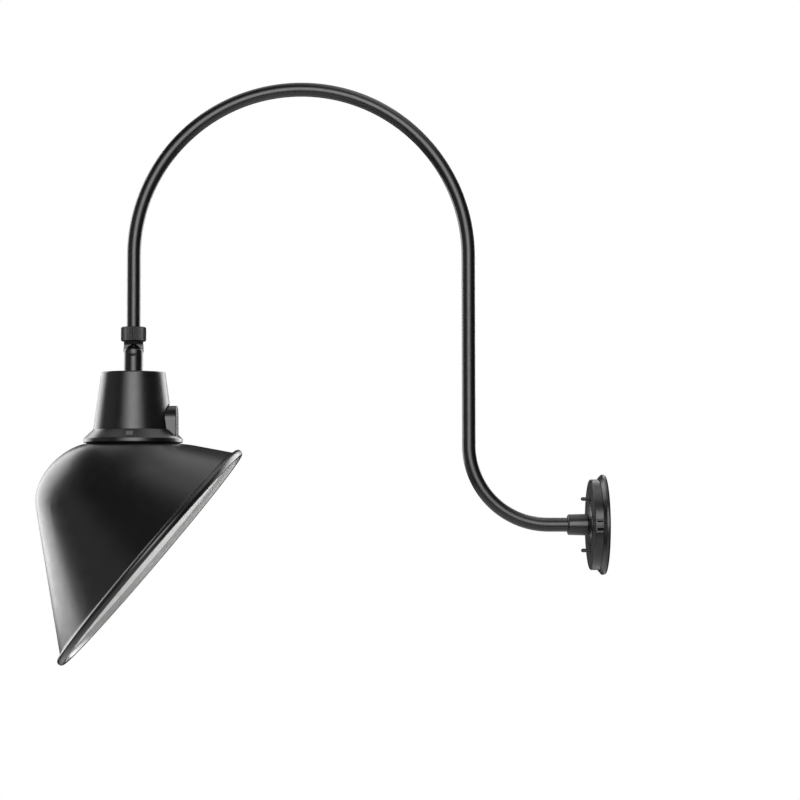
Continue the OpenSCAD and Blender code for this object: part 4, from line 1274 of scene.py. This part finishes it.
def light_world(scene):
    """World that gives little light and shows white to the camera."""
    world = bpy.data.worlds.new("Studio")
    scene.world = world
    world.use_nodes = True
    tree = world.node_tree
    light = tree.nodes["Background"]
    light.inputs["Color"].default_value = (0.9, 0.92, 0.95, 1)
    light.inputs["Strength"].default_value = WORLD_LIGHT
    backdrop = tree.nodes.new("ShaderNodeBackground")
    backdrop.inputs["Color"].default_value = (1, 1, 1, 1)
    backdrop.inputs["Strength"].default_value = BACKDROP
    path = tree.nodes.new("ShaderNodeLightPath")
    seen = tree.nodes.new("ShaderNodeMath")
    seen.operation = "MAXIMUM"
    tree.links.new(path.outputs["Is Camera Ray"], seen.inputs[0])
    tree.links.new(path.outputs["Is Transmission Ray"], seen.inputs[1])
    mix = tree.nodes.new("ShaderNodeMixShader")
    tree.links.new(seen.outputs[0], mix.inputs[0])
    tree.links.new(light.outputs[0], mix.inputs[1])
    tree.links.new(backdrop.outputs[0], mix.inputs[2])
    tree.links.new(mix.outputs[0], tree.nodes["World Output"].inputs["Surface"])


class SCONCE_OT_stage(bpy.types.Operator):
    """Camera, lamps, world and a plain pale floor"""

    bl_idname = "sconce.stage"
    bl_label = "Stage"

    def execute(self, context):
        scene = context.scene
        set_camera(scene)
        for lamp in LAMPS:
            soft_lamp(*lamp)
        lay_floor()
        light_world(scene)
        scene.view_settings.view_transform = "Standard"
        return {"FINISHED"}


PIECES = (
    SCONCE_OT_finishes,
    SCONCE_OT_wall_plate,
    SCONCE_OT_cap_nuts,
    SCONCE_OT_arm_hub,
    SCONCE_OT_arm_tube,
    SCONCE_OT_lock_collar,
    SCONCE_OT_swivel,
    SCONCE_OT_lap_post,
    SCONCE_OT_pivot_screw,
    SCONCE_OT_housing,
    SCONCE_OT_side_cover,
    SCONCE_OT_shade,
    SCONCE_OT_lens,
    SCONCE_OT_stage,
)


class SCONCE_PT_panel(bpy.types.Panel):
    """Lists the pieces, the sizes and the finishes"""

    bl_label = "Sconce"
    bl_idname = "SCONCE_PT_panel"
    bl_space_type = "VIEW_3D"
    bl_region_type = "UI"
    bl_category = "Sconce"

    def draw(self, context):
        layout = self.layout
        for group in (context.scene.sconce_sizes, context.scene.sconce_finishes):
            column = layout.column(align=True)
            for name in group.bl_rna.properties.keys():
                if name not in ("rna_type", "name"):
                    column.prop(group, name)
        column = layout.column(align=True)
        for piece in PIECES:
            column.operator(piece.bl_idname)


CLASSES = (SconceSizes, SconceFinishes, *PIECES, SCONCE_PT_panel)


def register():
    """Registers the classes and the settings."""
    for cls in CLASSES:
        bpy.utils.register_class(cls)
    bpy.types.Scene.sconce_sizes = PointerProperty(type=SconceSizes)
    bpy.types.Scene.sconce_finishes = PointerProperty(type=SconceFinishes)


def unregister():
    """Removes the classes and the settings."""
    del bpy.types.Scene.sconce_finishes
    del bpy.types.Scene.sconce_sizes
    for cls in reversed(CLASSES):
        bpy.utils.unregister_class(cls)


def main():
    """Registers the settings and builds every piece in order."""
    register()
    for piece in PIECES:
        group, name = piece.bl_idname.split(".")
        getattr(getattr(bpy.ops, group), name)()


if __name__ == "__main__":
    main()
